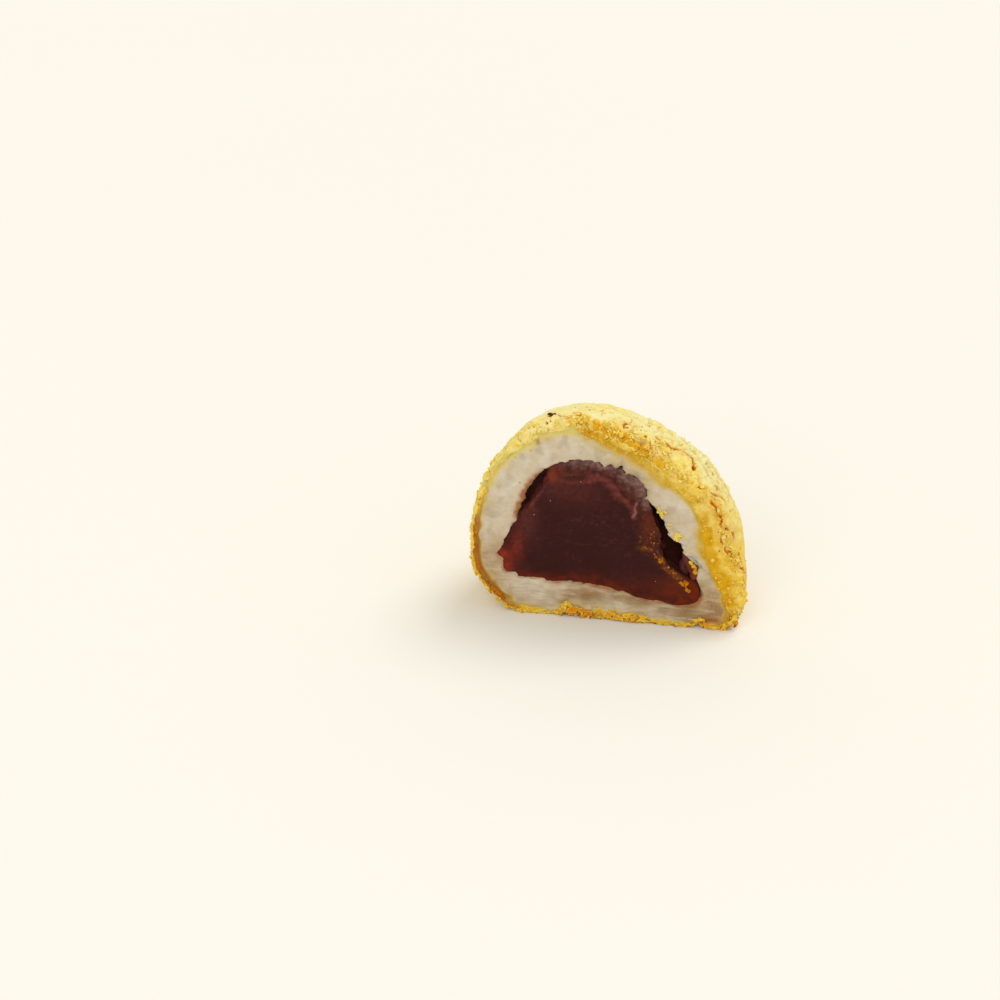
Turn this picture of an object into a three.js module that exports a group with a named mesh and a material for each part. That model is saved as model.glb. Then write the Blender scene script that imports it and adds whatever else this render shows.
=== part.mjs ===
// Kinako ohagi, one half as cut: a mound of half-pounded glutinous rice round a
// core of sweet red bean paste, rolled in roasted soybean flour, cut down the
// middle with a knife. Millimetres, +Z up, the flat cut face looks towards -Y.
import * as THREE from 'three';

// ---------------------------------------------------------------- named sizes
// Body: sections parallel to the cut are superellipses about a pole line that
// runs along Y; they shrink towards the back of the mound.
const REACH_LEFT = 30.6;         // widest reach in -X
const REACH_RIGHT = 30.6;        // and in +X
const HEIGHT = 48.0;             // foot to crown, before the knife dragged it down
const DEPTH = 31.5;              // cut face to the back of the mound
const POLE_X = -4.2;             // the crown stands left of the middle
const POLE_Z = 14.0;             // height at which the mound is widest
const ROUND_LEFT = 2.2;          // superellipse exponents: full left shoulder,
const ROUND_RIGHT = 1.83;        // sloping right shoulder,
const ROUND_BELOW = 2.2;         // tucked-in underside
const TUCK_LEFT = 17.8;          // how deep the section would run below the pole
const TUCK_RIGHT = 30.0;         // if it did not rest on its flat foot
const FOOT_ROUND = 1.3;          // half the width of the rounding round the foot

// Where the knife dragged the skin over the edge of the cut.
const ROLL_DEPTH = 13.5;         // how far behind the cut the drag dies out
const ROLL = [                   // [angle deg, half-spread deg, inset mm]
  [10, 18, 5.5],                 // right flank
  [56, 33, 5.5],                 // right shoulder
  [127, 11, 0.8],                // left shoulder
  [216, 32, 1.2],                // left foot corner
];

// Gentle hand-shaped unevenness of the mound.
const LUMP_HEIGHT = 0.34;
const LUMPS = [                  // [waves round, waves deep, phase]
  [3, 1.0, 0.7], [5, 2.0, 2.1], [7, 3.0, 4.4], [11, 4.0, 1.3],
];

// Soybean flour coat.
const COAT = 1.75;               // its thickness on the mound
const COAT_FOOT = 1.5;           // and under the foot
const COAT_THICK_SPOTS = [
  [358, 14, 1.5], [84, 11, 1.3], [31, 9, 0.7], [218, 14, 0.5],
];

// Bean paste core: an uneven wedge-like ball with two pointed lower corners.
const CORE_X = -3.2;             // its pole
const CORE_Z = 18.0;
const CORE_LEFT = 24.8;          // reach from X = 0
const CORE_RIGHT = 17.2;
const CORE_TOP = 38.0;
const CORE_BELOW_LEFT = 9.0;
const CORE_BELOW_RIGHT = 12.0;
const CORE_ROUND_LEFT = 1.94;
const CORE_ROUND_RIGHT = 1.15;
const CORE_ROUND_BELOW = 5.0;
const CORE_BACK = 21.5;          // depth behind the cut
const CORE_SPOTS = [             // [angle deg, half-spread deg, outward mm]
  [331, 14.5, 4.1],              // right lower corner
  [164, 20, -3.8],               // dent in the left flank
  [12, 14, -1.8],                // dent in the right flank
  [275, 30, -1.4],               // raised underside
  [64, 10, 1.6],                 // right shoulder
];

// Open gaps between the core and the rice, seen at the cut.
const GAPS = [                   // [angle deg, half-spread deg, width mm]
  [350, 11, 6.1],                // the deep hollow at the lower right
  [5, 10, 2.6],                  // which narrows
  [21, 10, 0.8],                 // up the right flank
  [138, 15, 2.7],                // crevice along the upper left
];
const GAP_DEPTH = 8.0;

// Torn rim of the core's knife facet: it steps back behind the cut plane.
const RIM = 0.5;                 // width of the step
const RIM_BACK = 0.6;            // how far it steps back
const RIM_SPOTS = [              // [angle deg, half-spread deg, extra width mm]
  [101, 14, 4.0], [61, 11, 4.0], [38, 12, 2.8],
];
const RIM_EXTRA_BACK = 1.3;      // extra step back where the rim is wide
const RIM_WAVE = 0.4;            // raggedness of its upper edge

const CLEARANCE = 0.32;          // left between neighbouring pieces

const AROUND = 80;               // facets round a section
const ROWS_OUTER = 16;           // rows from the cut to the back
const ROWS_INNER = 11;
const CORE_ROWS = [0, 2.6, 4.6, 6.3, 7.7, 10.5, 14, 17.2, 19.7];   // mm behind the cut

// ------------------------------------------------------------------ functions
const rad = (deg) => (deg * Math.PI) / 180;

// Sum of smooth spots round a section at angle t.
function spots(table, t) {
  let sum = 0;
  for (const [at, spread, size] of table) {
    const d = Math.atan2(Math.sin(t - rad(at)), Math.cos(t - rad(at)));
    sum += size * Math.exp(-((d / rad(spread)) ** 2));
  }
  return sum;
}

// Radius of a superellipse with a different reach and roundness in each quarter.
function section(t, s) {
  const c = Math.cos(t);
  const v = Math.sin(t);
  const across = c >= 0 ? s.right - s.x : s.left + s.x;
  const side = 0.5 + 0.5 * c;
  const up = v >= 0 ? s.top - s.z : s.belowLeft + (s.belowRight - s.belowLeft) * side;
  const n = v < 0 ? s.roundBelow : c >= 0 ? s.roundRight : s.roundLeft;
  return (Math.abs(c / across) ** n + Math.abs(v / up) ** n) ** (-1 / n);
}

const BODY = {
  x: POLE_X, z: POLE_Z, left: REACH_LEFT, right: REACH_RIGHT, top: HEIGHT,
  belowLeft: TUCK_LEFT, belowRight: TUCK_RIGHT,
  roundLeft: ROUND_LEFT, roundRight: ROUND_RIGHT, roundBelow: ROUND_BELOW,
};
const CORE = {
  x: CORE_X, z: CORE_Z, left: CORE_LEFT, right: CORE_RIGHT, top: CORE_TOP,
  belowLeft: CORE_BELOW_LEFT, belowRight: CORE_BELOW_RIGHT,
  roundLeft: CORE_ROUND_LEFT, roundRight: CORE_ROUND_RIGHT, roundBelow: CORE_ROUND_BELOW,
};

const fade = (y, reach) => Math.max(0, 1 - y / reach) ** 2;

// Height above a floor, rounded where the skin meets it.
function rest(z, floor) {
  if (z <= floor - FOOT_ROUND) return floor;
  if (z >= floor + FOOT_ROUND) return z;
  return floor + (z - floor + FOOT_ROUND) ** 2 / (4 * FOOT_ROUND);
}

// Point of the mound's skin, inset by `skin` mm, at angle t and dome angle p
// (0 at the cut, a quarter turn at the back); `foot` is the height of its floor.
function mound(t, p, skin, foot) {
  const thick = skin > 0 ? skin + spots(COAT_THICK_SPOTS, t) * Math.cos(p) : 0;
  const y = (DEPTH - skin) * Math.sin(p);
  let lump = 0;
  for (const [round, deep, phase] of LUMPS) lump += Math.sin(round * t + phase + deep * y * 0.12);
  lump *= (LUMP_HEIGHT / LUMPS.length) * Math.cos(p);
  const r = (section(t, BODY) - thick) * Math.cos(p) - spots(ROLL, t) * fade(y, ROLL_DEPTH) + lump;
  return [POLE_X + r * Math.cos(t), y, rest(POLE_Z + r * Math.sin(t), foot)];
}

// Point of the core's skin, grown by `grow` mm.
function core(t, p, grow) {
  const y = (CORE_BACK + grow) * Math.sin(p);
  const r = (section(t, CORE) + spots(CORE_SPOTS, t) * Math.cos(p) + grow) * Math.cos(p) ** 0.9;
  return [CORE_X + r * Math.cos(t), y, CORE_Z + r * Math.sin(t)];
}

// One ring of points from a function of the angle.
function ring(at) {
  const points = [];
  for (let i = 0; i < AROUND; i += 1) points.push(at((i / AROUND) * 2 * Math.PI));
  return points;
}

// Dome angles from the cut to short of the back, closer together near the cut.
const spaced = (rows) => Array.from({ length: rows }, (_, j) => (j / rows) ** 1.12 * (Math.PI / 2));

// One ring at each dome angle, and the back pole, which closes them with a fan.
const bowl = (angles, at) => ({ rings: angles.map((p) => ring((t) => at(t, p))), tip: at(0, Math.PI / 2) });

// Closed body from rings that run from one tip to the other.
function closed(name, tipA, rings, tipB, look) {
  const xyz = [];
  const index = [];
  xyz.push(...tipA);
  for (const points of rings) for (const point of points) xyz.push(...point);
  xyz.push(...tipB);
  const id = (j, i) => 1 + j * AROUND + (i % AROUND);
  const last = 1 + rings.length * AROUND;
  for (let i = 0; i < AROUND; i += 1) {
    index.push(0, id(0, i), id(0, i + 1));
    for (let j = 0; j + 1 < rings.length; j += 1) {
      index.push(id(j, i), id(j + 1, i + 1), id(j, i + 1));
      index.push(id(j, i), id(j + 1, i), id(j + 1, i + 1));
    }
    index.push(id(rings.length - 1, i), last, id(rings.length - 1, i + 1));
  }
  const geometry = new THREE.BufferGeometry();
  geometry.setAttribute('position', new THREE.Float32BufferAttribute(xyz, 3));
  geometry.setIndex(index);
  const mesh = new THREE.Mesh(geometry, new THREE.MeshStandardMaterial(look));
  mesh.name = name;
  return mesh;
}

// --------------------------------------------------------------------- pieces
// Coat: from the inner back tip forward to the cut, over the rim, to the back.
const coatOut = bowl(spaced(ROWS_OUTER), (t, p) => mound(t, p, 0, 0));
const coatIn = bowl(spaced(ROWS_INNER), (t, p) => mound(t, p, COAT, COAT_FOOT));
const kinakoCoat = closed('kinako_coat', coatIn.tip,
  [...coatIn.rings.reverse(), ...coatOut.rings], coatOut.tip,
  { color: 0xe3c56a, roughness: 0.95, metalness: 0 });

// Rice: the same kind of bowl between the coat and the core.
const riceOut = bowl(spaced(ROWS_INNER), (t, p) => mound(t, p, COAT + CLEARANCE, COAT_FOOT + CLEARANCE));
const coreAngles = CORE_ROWS.map((y) => Math.asin(y / CORE_BACK));
const riceIn = bowl(coreAngles, (t, p) => core(t, p, 0));
const rice = closed('rice', riceIn.tip,
  [...riceIn.rings.reverse(), ...riceOut.rings], riceOut.tip,
  { color: 0xd8cfc0, roughness: 0.45, metalness: 0 });

// Core: the knife facet, its torn rim and the gaps, then the back.
function coreSkin(t, p) {
  const [x, y, z] = core(t, p, -CLEARANCE);
  const shut = spots(GAPS, t) * Math.max(0, 1 - (y / GAP_DEPTH) ** 3);
  return [x - shut * Math.cos(t), y, z - shut * Math.sin(t)];
}
const coreBack = bowl(coreAngles, coreSkin);
const step = ring((t) => {
  const wide = spots(RIM_SPOTS, t);
  const [x, , z] = coreSkin(t, 0);
  const back = RIM_BACK + RIM_EXTRA_BACK * Math.min(1, wide / 3);
  return [x, back, z];
});
const facet = ring((t) => {
  const wide = RIM + spots(RIM_SPOTS, t) + RIM_WAVE * Math.sin(9 * t) * Math.max(0, Math.sin(t));
  const [x, , z] = coreSkin(t, 0);
  return [x - wide * Math.cos(t), 0, z - wide * Math.sin(t)];
});
const half = ring((t) => {
  const [x, y, z] = facet[Math.round((t / (2 * Math.PI)) * AROUND) % AROUND];
  return [(x + CORE_X) / 2, y, (z + CORE_Z) / 2];
});
const anko = closed('anko', [CORE_X, 0, CORE_Z],
  [half, facet, step, ...coreBack.rings.slice(1)], coreBack.tip,
  { color: 0x3a1a1c, roughness: 0.4, metalness: 0 });

// ------------------------------------------------------------------- the part
const group = new THREE.Group();
group.name = 'kinako_ohagi_half';
group.add(kinakoCoat, rice, anko);

// Origin at the middle of the footprint, on the resting plane.
const box = new THREE.Box3().setFromObject(kinakoCoat);
const shift = [-(box.min.x + box.max.x) / 2, -(box.min.y + box.max.y) / 2, 0];
for (const mesh of group.children) mesh.geometry.translate(...shift);

export default group;
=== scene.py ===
"""Half of a kinako ohagi, as cut: soybean flour coat, half-pounded rice and bean paste core.

Shapes are worked out in millimetres in the CAD's own terms (angle round the cut, depth behind it),
displaced by seeded noise, and placed in metres in the row frame at the end.
"""
import math

import bmesh
import bpy
import numpy as np
from mathutils import Matrix, Vector


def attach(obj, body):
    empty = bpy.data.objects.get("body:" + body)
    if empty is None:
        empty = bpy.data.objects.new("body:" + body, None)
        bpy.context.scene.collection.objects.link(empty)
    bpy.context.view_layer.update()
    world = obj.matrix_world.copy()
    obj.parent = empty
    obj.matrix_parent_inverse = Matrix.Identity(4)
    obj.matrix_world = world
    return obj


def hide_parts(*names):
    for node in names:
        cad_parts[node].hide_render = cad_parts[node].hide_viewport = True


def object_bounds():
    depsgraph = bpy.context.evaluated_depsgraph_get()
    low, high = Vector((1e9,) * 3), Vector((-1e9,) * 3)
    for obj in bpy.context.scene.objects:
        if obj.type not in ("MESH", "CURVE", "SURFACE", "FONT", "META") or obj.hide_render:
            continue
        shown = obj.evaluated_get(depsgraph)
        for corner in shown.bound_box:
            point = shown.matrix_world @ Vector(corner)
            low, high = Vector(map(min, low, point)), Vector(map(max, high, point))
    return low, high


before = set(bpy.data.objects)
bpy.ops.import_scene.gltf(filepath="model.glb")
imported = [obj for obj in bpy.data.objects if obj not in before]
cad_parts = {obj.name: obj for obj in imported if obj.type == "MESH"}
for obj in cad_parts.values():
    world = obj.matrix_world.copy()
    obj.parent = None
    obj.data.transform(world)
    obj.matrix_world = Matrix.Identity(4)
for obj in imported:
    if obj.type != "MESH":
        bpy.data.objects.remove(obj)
cad_low, cad_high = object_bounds()

# ------------------------------------------------------------------ sizes, mm
REACH_LEFT, REACH_RIGHT, HEIGHT, DEPTH = 30.6, 30.6, 48.0, 31.5
POLE_X, POLE_Z = -4.2, 14.0
FOOT_ROUND = 1.3
BODY = dict(x=POLE_X, z=POLE_Z, left=REACH_LEFT, right=REACH_RIGHT, top=HEIGHT,
            below_left=17.8, below_right=30.0, n_left=2.2, n_right=1.83, n_below=2.2)
CORE_X, CORE_Z, CORE_BACK = -3.2, 18.0, 21.5
CORE = dict(x=CORE_X, z=CORE_Z, left=24.8, right=17.2, top=38.0,
            below_left=9.0, below_right=12.0, n_left=1.94, n_right=1.15, n_below=5.0)
ROLL_DEPTH = 13.5
ROLL = [(10, 18, 5.5), (56, 33, 5.5), (127, 11, 0.8), (216, 32, 1.2)]
LUMP_HEIGHT = 0.34
LUMPS = [(3, 1.0, 0.7), (5, 2.0, 2.1), (7, 3.0, 4.4), (11, 4.0, 1.3)]
COAT, COAT_FOOT = 1.75, 1.5
COAT_THICK_SPOTS = [(358, 14, 1.5), (84, 11, 1.3), (31, 9, 0.7), (218, 14, 0.5)]
CORE_SPOTS = [(331, 14.5, 4.1), (164, 20, -3.8), (12, 14, -1.8), (275, 30, -1.4), (64, 10, 1.6)]
GAPS = [(350, 11, 6.1), (5, 10, 2.6), (21, 10, 0.8), (138, 15, 2.7)]
GAP_DEPTH = 8.0
# Outline of the core along the hollow at its right: (angle, distance from its pole).
HOLLOW_EDGE = [(341.5, 99), (342.3, 25.0), (343.2, 21.3), (345.2, 18.2), (348, 16.4), (352, 15.0), (357, 14.3),
               (364, 13.8), (373, 13.9), (384, 14.0), (392, 14.0), (400, 14.6), (408, 15.4), (414, 16.6), (422, 18.4), (428, 99)]
SHIFT_X, SHIFT_Y = 0.5592, -15.75     # from the working frame to the row frame

# Inner edge of the rice at the cut: (angle round the core's pole, distance from it).
CORE_EDGE = [(2.6, 18.4), (7.2, 18.1), (12, 16.4), (15, 15.6), (25, 15.6), (41, 15.8), (47, 15.5), (51.4, 15.8), (54.2, 17.2),
             (58.7, 17.8), (64.1, 18.4), (73, 18.1), (76.5, 19.6), (79.2, 18.6), (83, 19.5), (86.7, 18.9), (95.7, 20.0),
             (108, 20.5), (122, 20.5), (134, 19.7), (147, 18.5), (159, 17.8), (165, 17.5), (171, 18.4), (180, 19.3),
             (184.7, 19.9), (190.3, 21.5), (194.5, 20.5), (200.5, 21.0), (203.7, 20.6), (205.5, 18.9), (209.1, 18.8),
             (213.5, 16.4), (218.7, 14.1), (223.8, 13.8), (232.3, 11.9), (240.4, 10.4), (252.2, 9.7), (265.2, 9.4),
             (278.3, 9.7), (285.3, 10.2), (291.7, 10.9), (301.9, 12.4), (309.3, 15.0), (315.1, 17.4), (319.5, 18.8),
             (321.8, 20.4), (324.9, 22.5), (328.6, 24.3), (332.1, 25.1), (335.9, 25.2), (338.8, 24.6), (343.2, 22.7),
             (347.8, 22.2), (351.6, 22.3), (354.7, 21.5), (359.5, 19.6)]

# Inner edge of the core's torn rim: (angle round the core, distance from its pole).
FACET_EDGE = [(14, 13.2), (25, 12.2), (35, 11.8), (44, 11.9), (52, 12.5), (61, 12.7), (70, 13.8), (77, 15.5),
              (84, 16.7), (90, 16.9), (99, 15.5), (104, 16.1), (111, 16.8), (117, 16.9), (122, 18.2),
              (127, 17.9), (134, 16.9), (145, 16.6), (160, 16.6)]

# How far behind the cut the golden, crumbly flour reaches before the pale skin: (angle, mm).
GOLD_REACH = [(0, 0.8), (8, 0.7), (16, 0.8), (24, 0.8), (30, 0.9), (37, 1.7), (44, 2.8), (50, 4.3), (56, 4.9),
              (61, 4.0), (67, 3.6), (73, 2.2), (79, 2.0), (85, 1.5), (89, 0.9), (94, 1.1), (98, 2.8), (103, 3.2),
              (110, 5.0), (114, 4.6), (120, 3.4), (127, 3.0), (142, 5.6), (165, 6.5), (200, 7.0), (215, 5.0),
              (250, 3.0), (300, 3.0), (335, 3.2), (348, 2.4), (360, 0.8)]

# What shows at the cut, from the foot up and over by angle, and along the foot by x in mm.
# How thick the coat is there, mm.
BAND = [(0, 4.9), (6, 4.6), (12, 4.0), (18, 3.7), (27, 4.0), (35, 4.0), (42, 3.1), (48, 2.6), (63, 2.5), (69, 1.8),
        (73, 1.9), (77, 2.7), (81, 3.0), (87, 3.0), (91, 2.9), (95, 2.2), (98, 1.5), (103, 1.9), (111, 1.7), (118, 1.8), (126, 1.3),
        (140, 1.2), (150, 1.3), (168, 1.6), (184, 1.6), (193, 1.7), (200, 2.1), (210, 1.8), (230, 1.8), (320, 2.4),
        (341, 2.3), (348, 4.6), (354, 5.0), (360, 4.9)]
BAND_FOOT = [(-26, 2.0), (-23.6, 1.6), (-20.5, 1.8), (-16.9, 1.4), (-12.9, 1.1), (-11.8, 1.5), (-11.1, 2.0), (-9.8, 3.2),
             (-8.6, 3.6), (-7, 2.5), (-3.7, 2.2), (-1, 2.6), (1, 2.7), (4, 2.2), (5.5, 2.0), (8.4, 1.8), (10.5, 1.4), (12.5, 1.1),
             (14.5, 0.95), (17.5, 0.9), (18.8, 1.4), (19.6, 2.3), (20.4, 2.3), (21.2, 1.2), (24.1, 1.5), (26.5, 2.2),
             (28.5, 2.8)]
# How golden, how waxy and deep beside the rice, how brown, how broken: 0 to 1.
TONE = [(0, 0.85), (15, 0.75), (30, 0.7), (42, 0.75), (50, 0.6), (60, 0.55), (72, 0.65), (80, 0.70), (90, 0.65), (97, 0.5),
        (105, 0.30), (120, 0.40), (140, 0.60), (155, 0.75), (170, 0.85), (200, 0.85), (345, 0.9), (360, 0.85)]
TONE_FOOT = [(-26, 0.8), (-13, 0.6), (-10, 1.0), (4, 1.0), (8, 0.7), (12, 0.45), (18, 0.4), (22, 0.6), (28, 0.7)]
RICH = [(0, 1.0), (12, 1.0), (22, 0.95), (32, 0.66), (46, 0.66), (62, 0.70), (71, 1.05), (80, 1.2), (86, 1.3), (92, 1.3),
        (95, 0.8), (98, 0.12), (103, 0.05), (130, 0.05), (145, 0.15), (158, 0.5), (170, 0.7), (190, 0.7), (215, 0.7), (340, 0.9), (360, 1.0)]
RICH_FOOT = [(-26, 0.7), (-21, 0.6), (-14, 0.25), (-9, 0.6), (5, 0.6), (9, 0.4), (13, 0.2), (18, 0.2), (22, 0.4), (28, 0.8)]
# Brown: damp flour, darkened further down the left as painted shade on the cut face there.
BROWN = [(0, 0.04), (60, 0.0), (146, 0.0), (156, 0.4), (164, 0.8), (174, 1.0), (208, 1.0), (218, 0.8),
         (340, 0.3), (350, 0.08), (360, 0.04)]
BROWN_FOOT = [(-26, 0.8), (-22, 0.6), (-18, 0.15), (-12, 0.12), (-9, 0.2), (-2, 0.15), (3, 0.1), (7, 0.2), (9, 0.15),
              (17, 0.1), (19, 0.8), (20.5, 0.8), (22, 0.4), (25, 0.35), (28, 0.1)]
BROKEN = [(0, 0.35), (10, 0.45), (25, 0.4), (35, 0.6), (45, 0.7), (56, 0.6), (68, 0.8), (76, 1.0), (86, 1.0), (93, 0.8),
          (99, 0.7), (106, 0.8), (115, 0.6), (128, 0.65), (140, 0.7), (155, 0.8), (170, 0.9), (205, 0.9), (345, 0.7), (360, 0.4)]
BROKEN_FOOT = [(-26, 0.9), (-19, 0.9), (-15, 0.3), (-12.5, 0.4), (-10, 1.0), (6, 1.0), (9, 0.8), (13, 0.3), (17.5, 0.3),
               (19, 0.9), (21, 0.7), (24, 0.4), (26, 0.9), (28, 0.8)]
# How far the crust's edge lifts off the ground, and juts out of the cut, mm.
LIFT_FOOT = [(-26, 0.2), (-20, 0.3), (-14, 0.1), (-11, 0.3), (-9, 0.85), (-7.6, 0.5), (-5.4, 0.15), (-3.6, 0.5), (-1, 0.1),
             (1.5, 0.3), (4, 0.05), (7, 0.1), (8.3, 0.55), (9.2, 0.1), (14, 0.1), (17.3, 0.05), (18.6, 0.9), (20.3, 1.0),
             (21.4, 0.2), (24, 0.1), (25.6, 0.5), (26.6, 0.8), (28, 0.9)]
JUT_FOOT = [(-26, 0.0), (-18, 0.1), (-12, 0.15), (-10.4, -0.2), (-9, 0.55), (-6, 0.35), (-3, 0.5), (0, 0.35), (2.5, 0.55),
            (5, 0.4), (7.2, 0.6), (8.6, -0.4), (10, 0.3), (14, 0.25), (16.8, 0.6), (18.4, 0.1), (20, -0.6), (22, 0.55),
            (24.5, 0.4), (26, -0.3), (28, 0.0)]
# Radius of the rounded edge at the cut, mm.
ROUND = [(0, 0.7), (35, 0.8), (60, 0.9), (88, 0.9), (98, 1.0), (108, 1.2), (130, 1.15), (148, 0.9), (165, 0.55), (185, 0.5),
         (215, 0.5), (345, 0.5), (360, 0.7)]

# Cracks in the skin: points (angle, mm behind the cut), half-width and depth in mm.
CRACKS = [
    ([(67.2, 4.3), (65.5, 4.2), (63.1, 4.4), (61.4, 4.3), (59.6, 4.1), (57.1, 4.8), (55.9, 5.2)], 0.26, 0.60),
    ([(54.2, 5.6), (52.2, 5.6), (50.3, 5.4), (49.0, 4.5), (48.1, 3.8)], 0.24, 0.55),
    ([(78.7, 7.3), (75.8, 7.2), (74.0, 6.3)], 0.16, 0.32),
    ([(85.3, 3.4), (83.5, 2.9), (82.2, 2.7)], 0.15, 0.30),
    ([(78.1, 4.2), (79.3, 4.2), (79.9, 3.5), (79.8, 2.6), (78.6, 2.9)], 0.28, 0.60),
    ([(37.4, 1.6), (33.8, 2.7), (30.8, 4.0), (28.9, 4.0), (28.0, 3.6)], 0.22, 0.42),
    ([(42.8, 0.8), (39.1, 1.6)], 0.22, 0.40),
    ([(43.8, 6.1), (40.9, 6.3)], 0.16, 0.30),
    ([(35.5, 0.2), (33.1, 0.5), (30.6, 0.6), (27.6, 0.6), (25.7, 0.9), (23.9, 0.9), (21.6, 0.5)], 0.34, 0.72),
    ([(19.4, 0.4), (17.6, 0.7), (15.8, 0.4), (13.6, 0.5)], 0.26, 0.55),
    ([(12.4, 0.7), (10.0, 0.5), (7.0, 0.8), (4.0, 0.7)], 0.22, 0.50),
    ([(20.9, 1.1), (19.9, 1.8), (18.9, 1.6), (17.9, 2.4), (17.0, 2.2)], 0.23, 0.85),
    ([(15.8, 2.8), (14.6, 3.4), (13.6, 3.2)], 0.24, 0.95),
    ([(9.6, 0.9), (8.4, 1.5), (7.2, 1.1), (6.0, 1.7)], 0.24, 0.90),
    ([(7.6, 2.3), (6.2, 2.9), (5.0, 2.2), (3.6, 2.6), (2.4, 2.2)], 0.25, 0.95),
    ([(1.6, 1.6), (0.4, 2.4), (358.4, 2.9), (356.8, 2.5)], 0.22, 0.80),
    ([(36.4, 4.2), (34.6, 4.9), (33.4, 4.8)], 0.20, 0.60),
    ([(348.6, 7.4), (345.6, 8.1), (343.0, 8.2), (341.2, 8.0)], 0.36, 0.95),
    ([(109.8, 6.8), (106.6, 4.8), (103.3, 3.3), (100.7, 2.9), (98.3, 3.3), (94.4, 1.6)], 0.20, 0.40),
    ([(128.0, 4.5), (124.5, 3.9), (122.0, 4.6)], 0.18, 0.36),
    ([(140.0, 4.8), (136.0, 4.0), (133.5, 5.2)], 0.18, 0.36),
    ([(358.0, 1.2), (354.5, 1.9), (351.5, 1.4)], 0.22, 0.45),
]
# Pits: (angle, mm behind the cut, radius, depth).
PITS = [(47.9, 3.6, 0.50, 0.7), (71.0, 3.1, 0.34, 0.4), (75.1, 0.6, 0.40, 0.4), (72.0, 1.5, 0.30, 0.4),
        (69.0, 0.6, 0.34, 0.4), (34.6, 4.3, 0.30, 0.4), (23.9, 4.4, 0.28, 0.4), (14.6, 3.2, 0.26, 0.4),
        (18.8, 1.8, 0.34, 0.4), (107.4, 5.0, 0.75, 0.5), (90.5, 1.7, 0.5, 0.35), (6.5, 4.6, 0.26, 0.3)]
# Chunks of packed flour stuck on the skin: (angle, mm behind the cut, length, width, turn in degrees, how golden).
CHUNKS = [(86.0, 0.7, 2.5, 1.15, 112, 0.44), (83.6, 1.7, 1.7, 1.2, 125, 0.26), (88.6, 0.4, 1.4, 0.8, 95, 0.6), (82.6, 0.3, 2.4, 0.7, 14, 0.4),
          (90.4, 0.9, 1.6, 0.8, 100, 0.52), (80.6, 0.6, 1.3, 0.8, 40, 0.4), (72.2, 1.6, 2.6, 1.9, 150, 0.24), (76.0, 2.2, 2.2, 1.4, 160, 0.24),
          (64.6, 3.4, 2.8, 1.6, 140, 0.24), (60.6, 2.9, 2.4, 1.4, 132, 0.24), (58.4, 0.6, 1.0, 0.8, 30, 0.5), (56.9, 0.9, 1.1, 0.7, 120, 0.55),
          (57.8, 1.6, 0.9, 0.7, 60, 0.46), (55.8, 0.4, 0.9, 0.6, 10, 0.6), (51.2, 0.6, 1.1, 0.8, 120, 0.4), (50.0, 1.1, 1.0, 0.6, 40, 0.35),
          (48.4, 0.4, 0.9, 0.7, 70, 0.52), (34.2, 1.5, 2.4, 0.8, 128, 0.4), (31.6, 2.0, 1.8, 0.8, 115, 0.45), (29.5, 1.4, 1.5, 0.9, 100, 0.7),
          (27.2, 1.3, 1.3, 0.9, 90, 0.75), (24.6, 1.6, 1.5, 0.8, 95, 0.65), (21.0, 1.3, 1.3, 0.8, 100, 0.7), (17.5, 1.3, 1.4, 0.9, 80, 0.6),
          (12.0, 1.5, 1.5, 0.9, 95, 0.55), (6.5, 1.6, 1.3, 1.0, 60, 0.6), (2.8, 1.2, 1.4, 0.9, 110, 0.65), (357.0, 1.4, 1.3, 0.8, 90, 0.6),
          (38.6, 1.9, 1.6, 0.8, 125, 0.3), (41.8, 1.4, 1.4, 0.7, 130, 0.35), (96.5, 1.0, 1.5, 0.8, 150, 0.4), (100.5, 1.6, 1.6, 0.9, 170, 0.3),
          (104.5, 0.6, 1.3, 0.8, 185, 0.35), (93.4, 0.5, 1.1, 0.7, 130, 0.55), (69.0, 0.7, 1.2, 0.7, 150, 0.4), (66.4, 0.4, 1.0, 0.6, 120, 0.45)]
# Crumb clusters on the skin: (angle, mm behind the cut, spread in mm, how many).
CLUSTERS = [(57.6, 1.0, 0.9, 26), (49.5, 0.8, 0.9, 24), (4.0, 1.9, 1.2, 40), (9.0, 2.1, 0.8, 24), (96.0, 0.8, 1.4, 26),
            (84.0, 0.6, 1.0, 20), (28.0, 1.2, 0.9, 20), (17.5, 1.6, 0.7, 16), (352.0, 1.0, 0.9, 20), (347.0, 2.2, 1.2, 24),
            (118.0, 2.2, 1.8, 24), (135.0, 3.0, 1.8, 24), (150.0, 2.6, 1.6, 20)]


def srgb(r, g, b):
    """Linear colour of an sRGB one given 0 to 255."""
    return tuple(((c / 255 + 0.055) / 1.055) ** 2.4 if c > 10 else c / 255 / 12.92 for c in (r, g, b)) + (1.0,)


# --------------------------------------------------------------- shape, in mm
def spots(table, t):
    total = np.zeros_like(t)
    for at, spread, size in table:
        d = np.arctan2(np.sin(t - math.radians(at)), np.cos(t - math.radians(at)))
        total = total + size * np.exp(-((d / math.radians(spread)) ** 2))
    return total


def section(t, s):
    c, v = np.cos(t), np.sin(t)
    across = np.where(c >= 0, s["right"] - s["x"], s["left"] + s["x"])
    below = s["below_left"] + (s["below_right"] - s["below_left"]) * (0.5 + 0.5 * c)
    up = np.where(v >= 0, s["top"] - s["z"], below)
    n = np.where(v < 0, s["n_below"], np.where(c >= 0, s["n_right"], s["n_left"]))
    return (np.abs(c / across) ** n + np.abs(v / up) ** n) ** (-1 / n)


def rest(z, floor):
    soft = floor + (z - floor + FOOT_ROUND) ** 2 / (4 * FOOT_ROUND)
    return np.where(z <= floor - FOOT_ROUND, floor, np.where(z >= floor + FOOT_ROUND, z, soft))


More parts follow.
